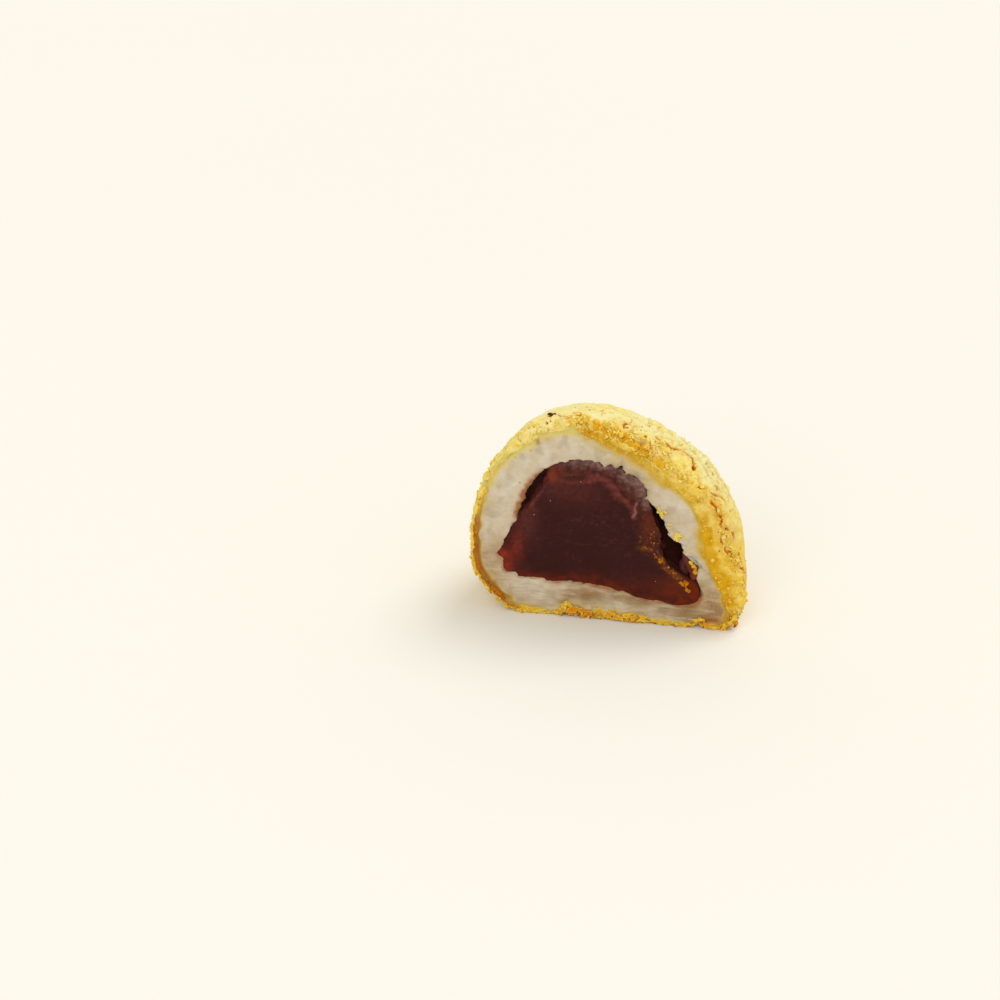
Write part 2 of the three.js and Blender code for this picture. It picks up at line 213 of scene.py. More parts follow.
def mound(t, p, skin=0.0, foot=0.0, inset=0.0):
    thick = skin + spots(COAT_THICK_SPOTS, t) * np.cos(p) if skin > 0 else 0.0
    y = (DEPTH - skin) * np.sin(p)
    lump = sum(np.sin(a * t + c + b * y * 0.12) for a, b, c in LUMPS) * (LUMP_HEIGHT / len(LUMPS)) * np.cos(p)
    drag = spots(ROLL, t) * np.maximum(0, 1 - y / ROLL_DEPTH) ** 2
    r = (section(t, BODY) - thick) * np.cos(p) - drag + lump - inset
    return np.stack([POLE_X + r * np.cos(t), y + 0 * t, rest(POLE_Z + r * np.sin(t), foot)], -1)


def core(t, p, grow=0.0):
    y = (CORE_BACK + grow) * np.sin(p)
    r = (section(t, CORE) + spots(CORE_SPOTS, t) * np.cos(p) + grow) * np.cos(p) ** 0.9
    return np.stack([CORE_X + r * np.cos(t), y + 0 * t, CORE_Z + r * np.sin(t)], -1)


def smooth(low, high, x):
    s = np.clip((x - low) / (high - low), 0, 1)
    return s * s * (3 - 2 * s)


def by_angle(table, t):
    deg = np.degrees(t) % 360
    at, value = np.array(table, float).T
    return np.interp(deg, at, value)


def at_cut(upper, foot, t, x, z):
    """A table's value round the cut: by angle above, and by x along the foot."""
    at, value = np.array(foot, float).T
    share = 1 - smooth(1.5, 4.5, z)
    return (1 - share) * by_angle(upper, t) + share * np.interp(x, at, value)


def stroke(x, z, path, width):
    """1 on a line drawn on the cut, falling off over its width in mm."""
    best = np.full(len(x), 99.0)
    path = np.array(path, float)
    for a, c in zip(path[:-1], path[1:]):
        d = c - a
        along_ = np.clip(((x - a[0]) * d[0] + (z - a[1]) * d[1]) / max(d @ d, 1e-9), 0, 1)
        best = np.minimum(best, np.hypot(x - a[0] - along_ * d[0], z - a[1] - along_ * d[1]))
    return np.exp(-((best / width) ** 2))


def spot(x, z, at_x, at_z, wide, tall):
    return np.exp(-(((x - at_x) / wide) ** 2 + ((z - at_z) / tall) ** 2))


def edge_shift(t):
    """How far the rice's edge at the cut lies outside the core's smooth outline."""
    smooth_edge = core(t, 0 * t)
    return by_angle(CORE_EDGE, t) - np.hypot(smooth_edge[:, 0] - CORE_X, smooth_edge[:, 2] - CORE_Z)


# -------------------------------------------------------------- seeded noise
_tables = {}


def _turn(seed):
    q = np.random.default_rng(1000 + seed).normal(size=(3, 3))
    return np.linalg.qr(q)[0], np.random.default_rng(2000 + seed).random(3) * 60


def noise(p, size, seed):
    """Smooth gradient noise, about -1 to 1, with bumps of about `size` mm."""
    if seed not in _tables:
        g = np.random.default_rng(seed).normal(size=(64, 64, 64, 3))
        _tables[seed] = (g / np.linalg.norm(g, axis=-1, keepdims=True)).astype(np.float32)
    table = _tables[seed]
    turn, offset = _turn(seed)
    q = (p @ turn.T) / size + offset
    i = np.floor(q).astype(np.int64)
    f = (q - i).astype(np.float32)
    w = f * f * f * (f * (f * 6 - 15) + 10)
    out = np.zeros(len(p), np.float32)
    for dx in (0, 1):
        for dy in (0, 1):
            for dz in (0, 1):
                g = table[(i[:, 0] + dx) & 63, (i[:, 1] + dy) & 63, (i[:, 2] + dz) & 63]
                d = f - np.array([dx, dy, dz], np.float32)
                share = (w[:, 0] if dx else 1 - w[:, 0]) * (w[:, 1] if dy else 1 - w[:, 1]) * (
                    w[:, 2] if dz else 1 - w[:, 2])
                out += share * (g * d).sum(1)
    return out * 1.7


def cells(p, size, seed, turned=True):
    """Distance to the nearest and second nearest of scattered points about `size` mm apart, and a number
    from 0 to 1 that each nearest point owns."""
    rng = np.random.default_rng(5000 + seed)
    jitter = rng.random((32, 32, 32, 3)).astype(np.float32)
    own = rng.random((32, 32, 32)).astype(np.float32)
    turn, offset = _turn(seed)
    q = (p @ turn.T if turned else p) / size + offset
    i = np.floor(q).astype(np.int64)
    f = (q - i).astype(np.float32)
    near = np.full(len(p), 9.0, np.float32)
    next_ = near.copy()
    mine = np.zeros(len(p), np.float32)
    for dx in (-1, 0, 1):
        for dy in (-1, 0, 1):
            for dz in (-1, 0, 1):
                k = ((i[:, 0] + dx) & 31, (i[:, 1] + dy) & 31, (i[:, 2] + dz) & 31)
                d = np.sqrt((((jitter[k] + np.array([dx, dy, dz], np.float32)) - f) ** 2).sum(1))
                closer = d < near
                next_ = np.where(closer, near, np.minimum(next_, d))
                mine = np.where(closer, own[k], mine)
                near = np.where(closer, d, near)
    return near, next_, mine


# ------------------------------------------------------------------- meshing
def disc(k):
    """A square grid pressed round: for each point its share of the turn and its ring from 0 to k, its
    quads, and the points of the outermost ring in order."""
    a = np.arange(-k, k + 1)
    a, b = np.meshgrid(a, a, indexing="ij")
    a, b = a.ravel(), b.ravel()
    ring = np.maximum(abs(a), abs(b))
    r = np.maximum(ring, 1)
    q = math.pi / 4
    turn = np.where(a == ring, b / r * q, np.where(b == ring, 2 * q - a / r * q,
                    np.where(a == -ring, 4 * q - b / r * q, -2 * q + a / r * q)))
    share = (turn / (2 * math.pi)) % 1.0
    n = 2 * k + 1
    ids = np.arange(n * n).reshape(n, n)
    quads = np.stack([ids[:-1, :-1], ids[1:, :-1], ids[1:, 1:], ids[:-1, 1:]], -1).reshape(-1, 4)
    edge = np.where(ring == k)[0]
    edge = edge[np.argsort(np.round(share[edge] * 8 * k).astype(int) % (8 * k))]
    return share, ring, quads, edge


def strip(outer, inner):
    """Quads between two rings of points, counter-clockwise as seen from the front when inner is inside."""
    return np.stack([outer, np.roll(outer, -1), np.roll(inner, -1), inner], -1)


class Net:
    """Points and faces of one closed piece, gathered part by part."""

    def __init__(self):
        self.points, self.uv, self.quads, self.tris, self.count = [], [], [], [], 0
        self.marks = {}

    def add(self, points, uv, **marks):
        ids = np.arange(self.count, self.count + len(points))
        self.points.append(np.asarray(points, float))
        self.uv.append(np.asarray(uv, float))
        for name, value in marks.items():
            self.marks.setdefault(name, []).append((ids, np.broadcast_to(value, len(points)).astype(float)))
        self.count += len(points)
        return ids

    def mark(self, name):
        out = np.zeros(self.count)
        for ids, value in self.marks.get(name, []):
            out[ids] = value
        return out

    def all_points(self):
        return np.concatenate(self.points)

    def all_uv(self):
        return np.concatenate(self.uv)

    def all_tris(self):
        q = np.concatenate(self.quads) if self.quads else np.zeros((0, 4), int)
        t = [q[:, [0, 1, 2]], q[:, [0, 2, 3]]] + self.tris
        return np.concatenate(t)


def normals(p, tris):
    n = np.cross(p[tris[:, 1]] - p[tris[:, 0]], p[tris[:, 2]] - p[tris[:, 0]])
    out = np.zeros_like(p)
    for k in range(3):
        for c in range(3):
            out[:, c] += np.bincount(tris[:, k], n[:, c], len(p))
    return out / np.maximum(np.linalg.norm(out, axis=1, keepdims=True), 1e-12)


def hollowness(p, tris, rounds):
    """How far each point lies below the surface averaged over its neighbours, mm; crests come out negative."""
    a = np.concatenate([tris[:, 0], tris[:, 1], tris[:, 2]])
    b = np.concatenate([tris[:, 1], tris[:, 2], tris[:, 0]])
    count = np.maximum(np.bincount(a, minlength=len(p)) + np.bincount(b, minlength=len(p)), 1)
    q = p.copy()
    for _ in range(rounds):
        q = np.stack([(np.bincount(a, q[b, k], len(p)) + np.bincount(b, q[a, k], len(p))) / count for k in range(3)], -1)
    return ((q - p) * normals(q, tris)).sum(1)


def to_row(p):
    return (p + np.array([SHIFT_X, SHIFT_Y, 0.0])) / 1000.0


def make_object(name, p, quads, tris, uv=None, marks=None, rounded=True):
    """A mesh object from arrays, p in working mm."""
    me = bpy.data.meshes.new(name)
    quads = np.asarray(quads, np.int32).reshape(-1, 4)
    tris = np.asarray(tris, np.int32).reshape(-1, 3)
    me.vertices.add(len(p))
    me.vertices.foreach_set("co", to_row(p).astype(np.float32).ravel())
    loops = np.concatenate([quads.ravel(), tris.ravel()])
    me.loops.add(len(loops))
    me.loops.foreach_set("vertex_index", loops)
    starts = np.concatenate([np.arange(len(quads)) * 4, len(quads) * 4 + np.arange(len(tris)) * 3])
    me.polygons.add(len(quads) + len(tris))
    me.polygons.foreach_set("loop_start", starts.astype(np.int32))
    me.update(calc_edges=True)
    me.validate()
    me.polygons.foreach_set("use_smooth", np.full(len(me.polygons), rounded))
    if uv is not None:
        layer = me.uv_layers.new(name="OFBake")
        layer.uv.foreach_set("vector", uv[loops].astype(np.float32).ravel())
    for key, value in (marks or {}).items():
        attribute = me.attributes.new(key, "FLOAT", "POINT")
        attribute.data.foreach_set("value", np.asarray(value, np.float32))
    ob = bpy.data.objects.new(name, me)
    bpy.context.scene.collection.objects.link(ob)
    return ob


def volume(p, tris):
    a, b, c = p[tris[:, 0]], p[tris[:, 1]], p[tris[:, 2]]
    return float((a * np.cross(b, c)).sum() / 6)


def line_field(p, lines, warp_seed):
    """How deep and how dark the cracks are at each point."""
    wobble = np.stack([noise(p, 0.9, warp_seed + i) for i in range(3)], -1) * 0.14
    wobble += np.stack([noise(p, 2.4, warp_seed + 3 + i) for i in range(3)], -1) * 0.18
    q = p + wobble
    deep = np.zeros(len(p))
    lip = np.zeros(len(p))
    glow = np.zeros(len(p))
    for path, half, depth in lines:
        best = np.full(len(p), 99.0)
        low, high = path.min(0) - 2.5, path.max(0) + 2.5
        near = np.where(((q > low) & (q < high)).all(1))[0]
        if not len(near):
            continue
        for a, b in zip(path[:-1], path[1:]):
            d = b - a
            s = np.clip(((q[near] - a) @ d) / max(d @ d, 1e-9), 0, 1)
            best[near] = np.minimum(best[near], np.linalg.norm(q[near] - a - s[:, None] * d, axis=1))
        end = np.minimum(np.linalg.norm(q - path[0], axis=1), np.linalg.norm(q - path[-1], axis=1))
        half_here = half * (0.45 + 0.55 * smooth(0.0, 1.4, end))
        deep = np.maximum(deep, depth * np.exp(-((best / half_here) ** 2) * 1.2))
        lip = np.maximum(lip, depth * 0.30 * np.exp(-(((best - half * 2.0) / (half * 1.1)) ** 2)))
        glow = np.maximum(glow, depth / 0.6 * np.exp(-((best / (half_here * 3.4)) ** 2)))
    return deep * np.clip(0.90 + 0.8 * noise(p, 0.9, warp_seed + 8), 0.30, 1.15), lip, glow


# --------------------------------------------------------------------- camera
# Solved from the photograph's perspective: 50.4 mm on a 36 mm frame, 27.6 degrees down, rolled 0.73 degrees.
PITCH, ROLL_ANGLE, YAW, EYE_HEIGHT = math.radians(27.56), math.radians(0.73), math.radians(-8.4), 164.4136
FOOT_POINT = np.array([32.4199, 258.1062])     # of the cut plane's zero, in the camera's own ground frame
camera_data = bpy.data.cameras.new("camera")
camera_data.sensor_width = 36.0
camera_data.lens = 50.4
camera_data.clip_start, camera_data.clip_end = 0.01, 20.0
camera = bpy.data.objects.new("camera", camera_data)
bpy.context.scene.collection.objects.link(camera)
bpy.context.scene.camera = camera
along = np.array([math.cos(YAW), math.sin(YAW)])
behind = np.array([-math.sin(YAW), math.cos(YAW)])


def turned(v):
    return Vector((float(v[:2] @ along), float(v[:2] @ behind), float(v[2])))


forward = np.array([0, math.cos(PITCH), -math.sin(PITCH)])
right = np.array([1.0, 0, 0])
upward = np.cross(right, forward)
image_x = math.cos(ROLL_ANGLE) * right + math.sin(ROLL_ANGLE) * upward
image_y = -math.sin(ROLL_ANGLE) * right + math.cos(ROLL_ANGLE) * upward
eye = turned(np.append(-FOOT_POINT, EYE_HEIGHT)) + Vector((8.9 + SHIFT_X, SHIFT_Y, 0))
axes = [turned(image_x), turned(image_y), -turned(forward)]
camera.matrix_world = Matrix.Translation(eye / 1000) @ Matrix(
    [[axes[c][r] for c in range(3)] for r in range(3)]).to_4x4()


# ---------------------------------------------------------------------- nodes
class Shade:
    """A small helper for writing a material's nodes."""

    def __init__(self, name):
        self.mat = bpy.data.materials.new(name)
        self.mat.use_nodes = True
        self.tree = self.mat.node_tree
        self.tree.nodes.clear()
        self.out = self.tree.nodes.new("ShaderNodeOutputMaterial")
        self.bsdf = self.tree.nodes.new("ShaderNodeBsdfPrincipled")
        self.tree.links.new(self.bsdf.outputs[0], self.out.inputs[0])
        self.coords = self.tree.nodes.new("ShaderNodeTexCoord").outputs["Object"]

    def put(self, socket, value):
        if isinstance(value, bpy.types.NodeSocket):
            self.tree.links.new(value, socket)
        else:
            socket.default_value = value

    def mark(self, name):
        n = self.tree.nodes.new("ShaderNodeAttribute")
        n.attribute_name = name
        return n.outputs["Fac"]

    def noise(self, mm, detail=2.0, rough=0.5, stretch=None, distortion=0.0):
        n = self.tree.nodes.new("ShaderNodeTexNoise")
        n.inputs["Scale"].default_value = 1000.0 / mm
        n.inputs["Detail"].default_value = detail
        n.inputs["Roughness"].default_value = rough
        n.inputs["Distortion"].default_value = distortion
        self.put(n.inputs["Vector"], self.stretched(stretch) if stretch else self.coords)
        return n.outputs["Fac"]

    def stretched(self, scale):
        n = self.tree.nodes.new("ShaderNodeMapping")
        n.inputs["Scale"].default_value = scale
        self.put(n.inputs["Vector"], self.coords)
        return n.outputs[0]

    def warped(self, mm, amount):
        """Object coordinates shifted about by noise, by up to about `amount` mm."""
        n = self.tree.nodes.new("ShaderNodeTexNoise")
        n.inputs["Scale"].default_value = 1000.0 / mm
        n.inputs["Detail"].default_value = 2.0
        self.put(n.inputs["Vector"], self.coords)
        half = self.tree.nodes.new("ShaderNodeVectorMath")
        half.operation = "SUBTRACT"
        self.put(half.inputs[0], n.outputs["Color"])
        half.inputs[1].default_value = (0.5, 0.5, 0.5)
        size = self.tree.nodes.new("ShaderNodeVectorMath")
        size.operation = "SCALE"
        self.put(size.inputs[0], half.outputs[0])
        size.inputs["Scale"].default_value = amount * 4 / 1000.0
        total = self.tree.nodes.new("ShaderNodeVectorMath")
        self.put(total.inputs[0], size.outputs[0])
        self.put(total.inputs[1], self.coords)
        return total.outputs[0]

    def cells(self, mm, feature="F1", randomness=1.0, vector=None):
        n = self.tree.nodes.new("ShaderNodeTexVoronoi")
        n.feature = feature
        n.inputs["Scale"].default_value = 1000.0 / mm
        n.inputs["Randomness"].default_value = randomness
        self.put(n.inputs["Vector"], self.coords if vector is None else vector)
        return n.outputs["Distance"]

    def math(self, op, a, b=0.0, clamp=False):
        n = self.tree.nodes.new("ShaderNodeMath")
        n.operation = op
        n.use_clamp = clamp
        self.put(n.inputs[0], a)
        self.put(n.inputs[1], b)
        return n.outputs[0]

    def spread(self, x, low, high, to_low=0.0, to_high=1.0):
        n = self.tree.nodes.new("ShaderNodeMapRange")
        n.interpolation_type = "SMOOTHSTEP"
        self.put(n.inputs["Value"], x)
        for key, value in zip(("From Min", "From Max", "To Min", "To Max"), (low, high, to_low, to_high)):
            n.inputs[key].default_value = value
        return n.outputs[0]

    def mix(self, share, a, b, kind="MIX"):
        n = self.tree.nodes.new("ShaderNodeMix")
        n.data_type = "RGBA"
        n.blend_type = kind
        n.clamp_factor = True
        self.put(n.inputs[0], share)
        self.put(n.inputs[6], a)
        self.put(n.inputs[7], b)
        return n.outputs[2]

    def bump(self, height, mm, strength, below=None):
        n = self.tree.nodes.new("ShaderNodeBump")
        n.inputs["Distance"].default_value = mm / 1000.0
        n.inputs["Strength"].default_value = strength
        self.put(n.inputs["Height"], height)
        if below is not None:
            self.put(n.inputs["Normal"], below)
        return n.outputs[0]

    def finish(self, color, rough, normal=None, **plain):
        self.put(self.bsdf.inputs["Base Color"], color)
        self.put(self.bsdf.inputs["Roughness"], rough)
        if normal is not None:
            self.put(self.bsdf.inputs["Normal"], normal)
        for key, value in plain.items():
            self.bsdf.inputs[key.replace("_", " ")].default_value = value
        return self.mat


# ----------------------------------------------------------------------- coat
def arc_angles():
    """Angle as a function of the share of the cut's outline, so that points lie evenly along it."""
    t = np.linspace(0, 2 * math.pi, 8193)
    q = mound(t, 0 * t)
    step = np.linalg.norm(np.diff(q, axis=0), axis=1)
    step *= np.where(q[:-1, 2] < 0.05, 0.8, 1.0)
    s = np.concatenate([[0], np.cumsum(step)])
    return s / s[-1], t


ARC_SHARE, ARC_ANGLE = arc_angles()


def even_angle(share):
    return np.interp(share, ARC_SHARE, ARC_ANGLE)


def outline(t):
    """The cut's outline, the way inward from it, and how thick the coat is there, as it is and evened out."""
    fine = np.linspace(0, 2 * math.pi, 4097)[:-1]
    o = mound(fine, 0 * fine)
    d = np.roll(o, -6, 0) - np.roll(o, 6, 0)
    n = np.stack([-d[:, 2], 0 * fine, d[:, 0]], -1)
    reach = np.arange(-90, 91)
    weight = np.exp(-((reach / 40) ** 2))
    n = sum(w * np.roll(n / np.linalg.norm(n, axis=1, keepdims=True), int(k), 0) for k, w in zip(reach, weight))
    n /= np.linalg.norm(n, axis=1, keepdims=True)
    thick = at_cut(BAND, BAND_FOOT, fine, o[:, 0], o[:, 2])
    wrap = lambda a: np.interp(t % (2 * math.pi), np.append(fine, 2 * math.pi), np.append(a, a[0]))
    reach = np.arange(-180, 181)
    weight = np.exp(-((reach / 70) ** 2))
    calm = sum(w * np.roll(thick, int(k)) for k, w in zip(reach, weight)) / weight.sum()
    return mound(t, 0 * t), np.stack([wrap(n[:, k]) for k in range(3)], -1), wrap(thick), wrap(calm)


def skin_point(deg, y):
    return mound(np.array([math.radians(deg)]), np.array([math.asin(min(1.0, y / DEPTH))]))[0]


def crack_paths():
    lines = []
    for path, half, depth in CRACKS:
        t = np.radians([a for a, _ in path])
        p = np.arcsin(np.array([y for _, y in path]) / DEPTH)
        lines.append((mound(t, p), half, depth))
    # Thin cracks and short splits over the back and the crown, like those of a whole one.
    rng = np.random.default_rng(77)
    for _ in range(34):
        t, y = math.radians(rng.uniform(-8, 188)), rng.uniform(9, 28)
        heading = rng.uniform(0, 2 * math.pi)
        path = []
        for _ in range(int(rng.integers(3, 7))):
            p = math.asin(min(0.999, y / DEPTH))
            path.append(mound(np.array([t]), np.array([p]))[0])
            heading += rng.normal(0, 0.30)
            step = rng.uniform(0.5, 1.1)
            t += math.cos(heading) * step / (27 * max(0.15, math.cos(p)))
            y = max(7.5, y + math.sin(heading) * step * math.cos(p))
        size = rng.uniform(0.3, 1.0)
        lines.append((np.array(path), 0.06 + 0.08 * size, 0.10 + 0.14 * size))
    return lines


K = 132


def build_coat():
    net = Net()
    share, ring, quads, edge = disc(K)
    t = even_angle(share)
    s = 1 - ring / K
    p = (math.pi / 2) * (0.42 * s + 0.58 * s * s)
    y = DEPTH * np.sin(p)
    flat_t = np.stack([np.cos(t) * 9, np.sin(t) * 9, 0 * t], -1)
    corner = by_angle(ROUND, t) * (1 + 0.35 * noise(flat_t, 0.9, 11) + 0.25 * noise(flat_t, 0.3, 12))
    corner = np.clip(corner, 0.25, 1.9)
    bevel = corner * (1 - np.sqrt(np.clip(1 - np.clip(1 - y / (1.5 * corner), 0, 1) ** 2, 0, 1)))
    points = mound(t, p, inset=bevel)
    radius = 0.37 * ring / K
    uv = np.stack([0.5 + radius * np.cos(2 * math.pi * share), 0.5 + radius * np.sin(2 * math.pi * share)], -1)
    outer = net.add(points, uv, t=t, y=y, out=1.0)
    net.quads.append(outer[quads][:, ::-1])

    # The coat's own cut face, from the outside edge to the rice.
    te = t[edge]
    around = share[edge]
    flat_e = flat_t[edge]
    start = points[edge]
    rim, way, thick, _ = outline(te)
    along_rim = np.stack([rim[:, 0], 0 * te, rim[:, 2]], -1)
    thick = thick * (1 + 0.10 * noise(along_rim, 2.6, 17)) + 0.22 * noise(along_rim, 1.2, 13) \
        + 0.11 * noise(along_rim, 0.45, 14)
    thick = np.maximum(thick + 0.20, 0.62)
    inner_edge = rim + way * thick[:, None]
    rows = 14
    last = outer[edge]
    for j in range(1, rows + 1):
        v = j / rows
        q = start * (1 - v) + inner_edge * v
        q[:, 1] = 0.04 + 0.9 * max(0.0, (v - 0.66) / 0.34) ** 2.2
        r = 0.37 + 0.12 * v
        uv = np.stack([0.5 + r * np.cos(2 * math.pi * around), 0.5 + r * np.sin(2 * math.pi * around)], -1)
        ids = net.add(q, uv, t=te, y=0.0, face=1.0, v=v)
        net.quads.append(strip(last, ids))
        last = ids
    # Inside skin, which the rice hides.
    deep = (np.arange(1, 8) / 8) ** 1.1 * (math.pi / 2)
    for j, pj in enumerate(deep):
        q = mound(te, pj + 0 * te, COAT, COAT_FOOT)
        r = 0.085 * (1 - j / 8)
        uv = np.stack([0.087 + r * np.cos(2 * math.pi * around), 0.087 + r * np.sin(2 * math.pi * around)], -1)
        ids = net.add(q, uv, t=te, y=q[:, 1], inside=1.0)
        net.quads.append(strip(last, ids))
        last = ids
    tip = net.add(mound(np.array([0.0]), np.array([math.pi / 2]), COAT, COAT_FOOT), [[0.087, 0.087]], inside=1.0)[0]
    net.tris.append(np.stack([last, np.roll(last, -1), np.full(len(last), tip)], -1))

    base = net.all_points()
    tris = net.all_tris()
    n = normals(base, tris)
    t, y = net.mark("t"), net.mark("y")
    out, face, inside, v = net.mark("out"), net.mark("face"), net.mark("inside"), net.mark("v")
    shown = np.where(inside < 0.5)[0]
    b, nb = base[shown], n[shown]
    tb, yb, fb, vb, ob = t[shown], y[shown], face[shown], v[shown], out[shown]

    # How golden, waxy, brown and broken it is here: the cut face, and a ragged band behind its edge.
    bx, bz = b[:, 0], b[:, 2]
    reach = by_angle(GOLD_REACH, tb) + 0.9 * noise(b, 2.6, 21) + 0.5 * noise(b, 1.1, 22)
    band = np.maximum(fb, 1 - smooth(-1.2, 2.2, yb - reach))
    gold = band * np.clip(at_cut(TONE, TONE_FOOT, tb, bx, bz) * (1 + 0.5 * noise(b, 2.0, 28)), 0, 1)
    foot = 1 - smooth(0.5, 7.0, bz + 2.0 * noise(b, 5.0, 23))
    # golder low down: partly damper flour, partly painted shade and warm reflected light near the foot
    low = 1 - smooth(4.0, 42.0, bz + 3.0 * noise(b, 7.0, 24))
    near_cut = np.exp(-((yb / 0.9) ** 2))
    crown = np.exp(-(((np.degrees(tb) - 74) / 21) ** 2))                    # the gold lies deepest right of the crown
    rich = at_cut(RICH, RICH_FOOT, tb, bx, bz) * (smooth(-0.1, 0.5, vb + 0.12 * noise(b, 1.5, 30)) * fb
                                                  + (0.42 + 0.75 * crown) * ob * near_cut ** (1 / (1 + 1.2 * crown)))
    rich = np.clip(rich * (1.10 + 0.9 * noise(b, 2.4, 26)), 0, 1)
    brown = at_cut(BROWN, BROWN_FOOT, tb, bx, bz) * smooth(0.02, 0.16, vb) * fb
    brown = np.clip(brown * (0.95 + 0.6 * noise(b, 1.7, 27)), 0, 1)
    broken = at_cut(BROKEN, BROKEN_FOOT, tb, bx, bz)
    broken = broken * np.maximum(fb * (1 - smooth(0.55, 0.95, vb)), ob * (1 - smooth(-0.8, 1.6, yb - 0.8 * reach)))
    broken = np.maximum(broken, 0.75 * foot * ob)
    broken = broken * smooth(-0.42, 0.22, noise(b, 3.2, 25) + 0.25 * (at_cut(BROKEN, BROKEN_FOOT, tb, bx, bz) - 0.5))
    patch = smooth(0.34, 0.66, noise(b, 5.5, 29)) * 0.32 * ob              # here and there on the smooth skin
    broken = np.maximum(broken, patch)

    # Relief: a calm skin, and plates of packed flour with gaps between them where it is broken.
    calm = 0.24 * noise(b, 5.5, 31) + 0.20 * noise(b, 2.8, 32) + 0.09 * noise(b, 1.3, 33) + 0.03 * noise(b, 0.6, 34)
    warp = np.stack([noise(b, 1.3, 60 + i) for i in range(3)], -1)
    f1, f2, own = cells(b + 0.50 * warp, 1.9, 35)
    gap1 = 1 - smooth(0.02, 0.16, f2 - f1)
    h1, h2, own2 = cells(b + 0.34 * warp, 0.95, 36)
    gap2 = 1 - smooth(0.02, 0.20, h2 - h1)
    some = smooth(-0.15, 0.40, noise(b, 2.1, 37))
    open1 = smooth(0.25, 0.60, own2 * 0.5 + own * 0.5)
    plates = 0.60 * (own - 0.45) - 0.36 * gap1 * open1 + some * (0.24 * (own2 - 0.5) - 0.13 * gap2)
    plates = plates + 0.38 * noise(b, 2.3, 38) + 0.10 * noise(b, 0.9, 42)
    relief = calm * (1 - 0.3 * broken) + broken * plates
    gaps = broken * np.clip(np.maximum(gap1 * open1, 0.7 * some * gap2) + 0.4 * np.clip(-noise(b, 2.3, 38), 0, 1), 0, 1)
    # Short hairline splits between plates of packed powder.
    split = np.exp(-((noise(b, 3.0, 39) / 0.045) ** 2)) * smooth(0.12, 0.5, noise(b, 4.6, 40)) * (1 - fb)
    split = split * (0.4 + 0.6 * np.exp(-(((np.degrees(tb) - 68) / 40) ** 2)) * np.exp(-(((yb - 4) / 6) ** 2)))
    relief = relief - 0.20 * split
    # knobs of flour along the skyline of the right shoulder
    shoulder = np.exp(-(((np.degrees(tb) - 50) / 30) ** 2)) * np.exp(-(((yb - 10) / 5.0) ** 2)) * ob
    s1, s2, own3 = cells(b + 0.4 * warp, 1.7, 49)
    relief = relief + shoulder * (0.80 * (own3 - 0.5) - 0.34 * (1 - smooth(0.02, 0.2, s2 - s1))
                                  + 0.55 * np.clip(noise(b, 1.25, 47) - 0.05, 0, 1) + 0.16 * noise(b, 0.6, 48))
    deep, lip, glow = line_field(b, crack_paths(), 41)
    fade_in = 1 - 0.6 * fb
    pit = np.zeros(len(b))
    for deg, depth_at, radius, dent in PITS:
        at = mound(np.array([math.radians(deg)]), np.array([math.asin(depth_at / DEPTH)]))[0]
        d = np.linalg.norm(b + 0.12 * noise(b, 0.7, 45)[:, None] - at, axis=1)
        pit = np.maximum(pit, dent * np.exp(-((d / radius) ** 4)))
    rng = np.random.default_rng(46)
    for _ in range(60):
        deg, depth_at = rng.uniform(-10, 190), rng.uniform(5, 30)
        radius, dent = rng.uniform(0.10, 0.26), rng.uniform(0.06, 0.20)
        at = mound(np.array([math.radians(deg)]), np.array([math.asin(depth_at / DEPTH)]))[0]
        near = np.where((abs(b - at) < 1.0).all(1))[0]
        d = np.linalg.norm(b[near] - at, axis=1)
        pit[near] = np.maximum(pit[near], dent * np.exp(-((d / radius) ** 4)))
    relief = relief + lip * (1 - fb) - deep * fade_in - pit
    # The cut face is held near its plane.
    relief = np.where(fb > 0.5, np.clip(relief * (1 - 0.85 * smooth(0.5, 1.0, vb)), -0.5, 0.36), relief)
    relief = np.clip(relief, -1.1, 0.75)
    q = b + nb * relief[:, None]
    # Ragged edge of the cut, in the plane of the cut, and a slight swelling at the lower right.
    radial = np.stack([np.cos(tb), 0 * tb, np.sin(tb)], -1)
    turned_deg = (np.degrees(tb) + 180) % 360 - 180
    swell = 0.60 * np.exp(-(((turned_deg + 5) / 13) ** 2)) * np.exp(-((yb / 6) ** 2)) * np.where(fb > 0.5, 1 - vb, 1.0)
    q = q + radial * swell[:, None]
    ragged = 0.34 * noise(b, 1.7, 51) + 0.28 * noise(b, 0.75, 52)
    edge_zone = np.exp(-(yb / 1.2) ** 2) * np.where(fb > 0.5, (1 - vb) ** 2, 1.0)
    q = q + radial * (ragged * edge_zone * (0.6 + 0.4 * broken))[:, None]
    # The crust along the foot curls and breaks: it lifts off the ground and juts out of the cut.
    row = b * np.array([1, 0, 0])
    at_x = lambda table: np.interp(bx, *np.array(table, float).T)
    foot_rim = smooth(-27, -22, bx) * (1 - smooth(27.5, 29, bx))
    lift = np.clip(at_x(LIFT_FOOT) + 0.16 * noise(row, 0.9, 53) + 0.10 * noise(row, 0.4, 54), 0, 1.2)
    jut = np.clip(at_x(JUT_FOOT) + 0.22 * noise(row, 1.1, 55) + 0.16 * noise(row, 0.5, 56), -0.8, 0.62)
    thin = np.clip(at_x(BAND_FOOT) * 0.45, 0.45, 1.3)
    lip_zone = foot_rim * np.exp(-((yb / 1.5) ** 2)) * np.where(fb > 0.5, np.exp(-((bz / thin) ** 2)), 1.0) * (bz < 4)
    q[:, 2] += lift * lip_zone
    q[:, 1] -= jut * lip_zone
    q[:, 1] = np.maximum(q[:, 1], -0.66)
    q[:, 2] = np.maximum(q[:, 2], 0.0)
    low_x, high_x = cad_low.x * 1000 - SHIFT_X, cad_high.x * 1000 - SHIFT_X
    q[:, 0] = np.clip(q[:, 0], low_x - 0.7, high_x + 0.7)
    final = base.copy()
    final[shown] = q
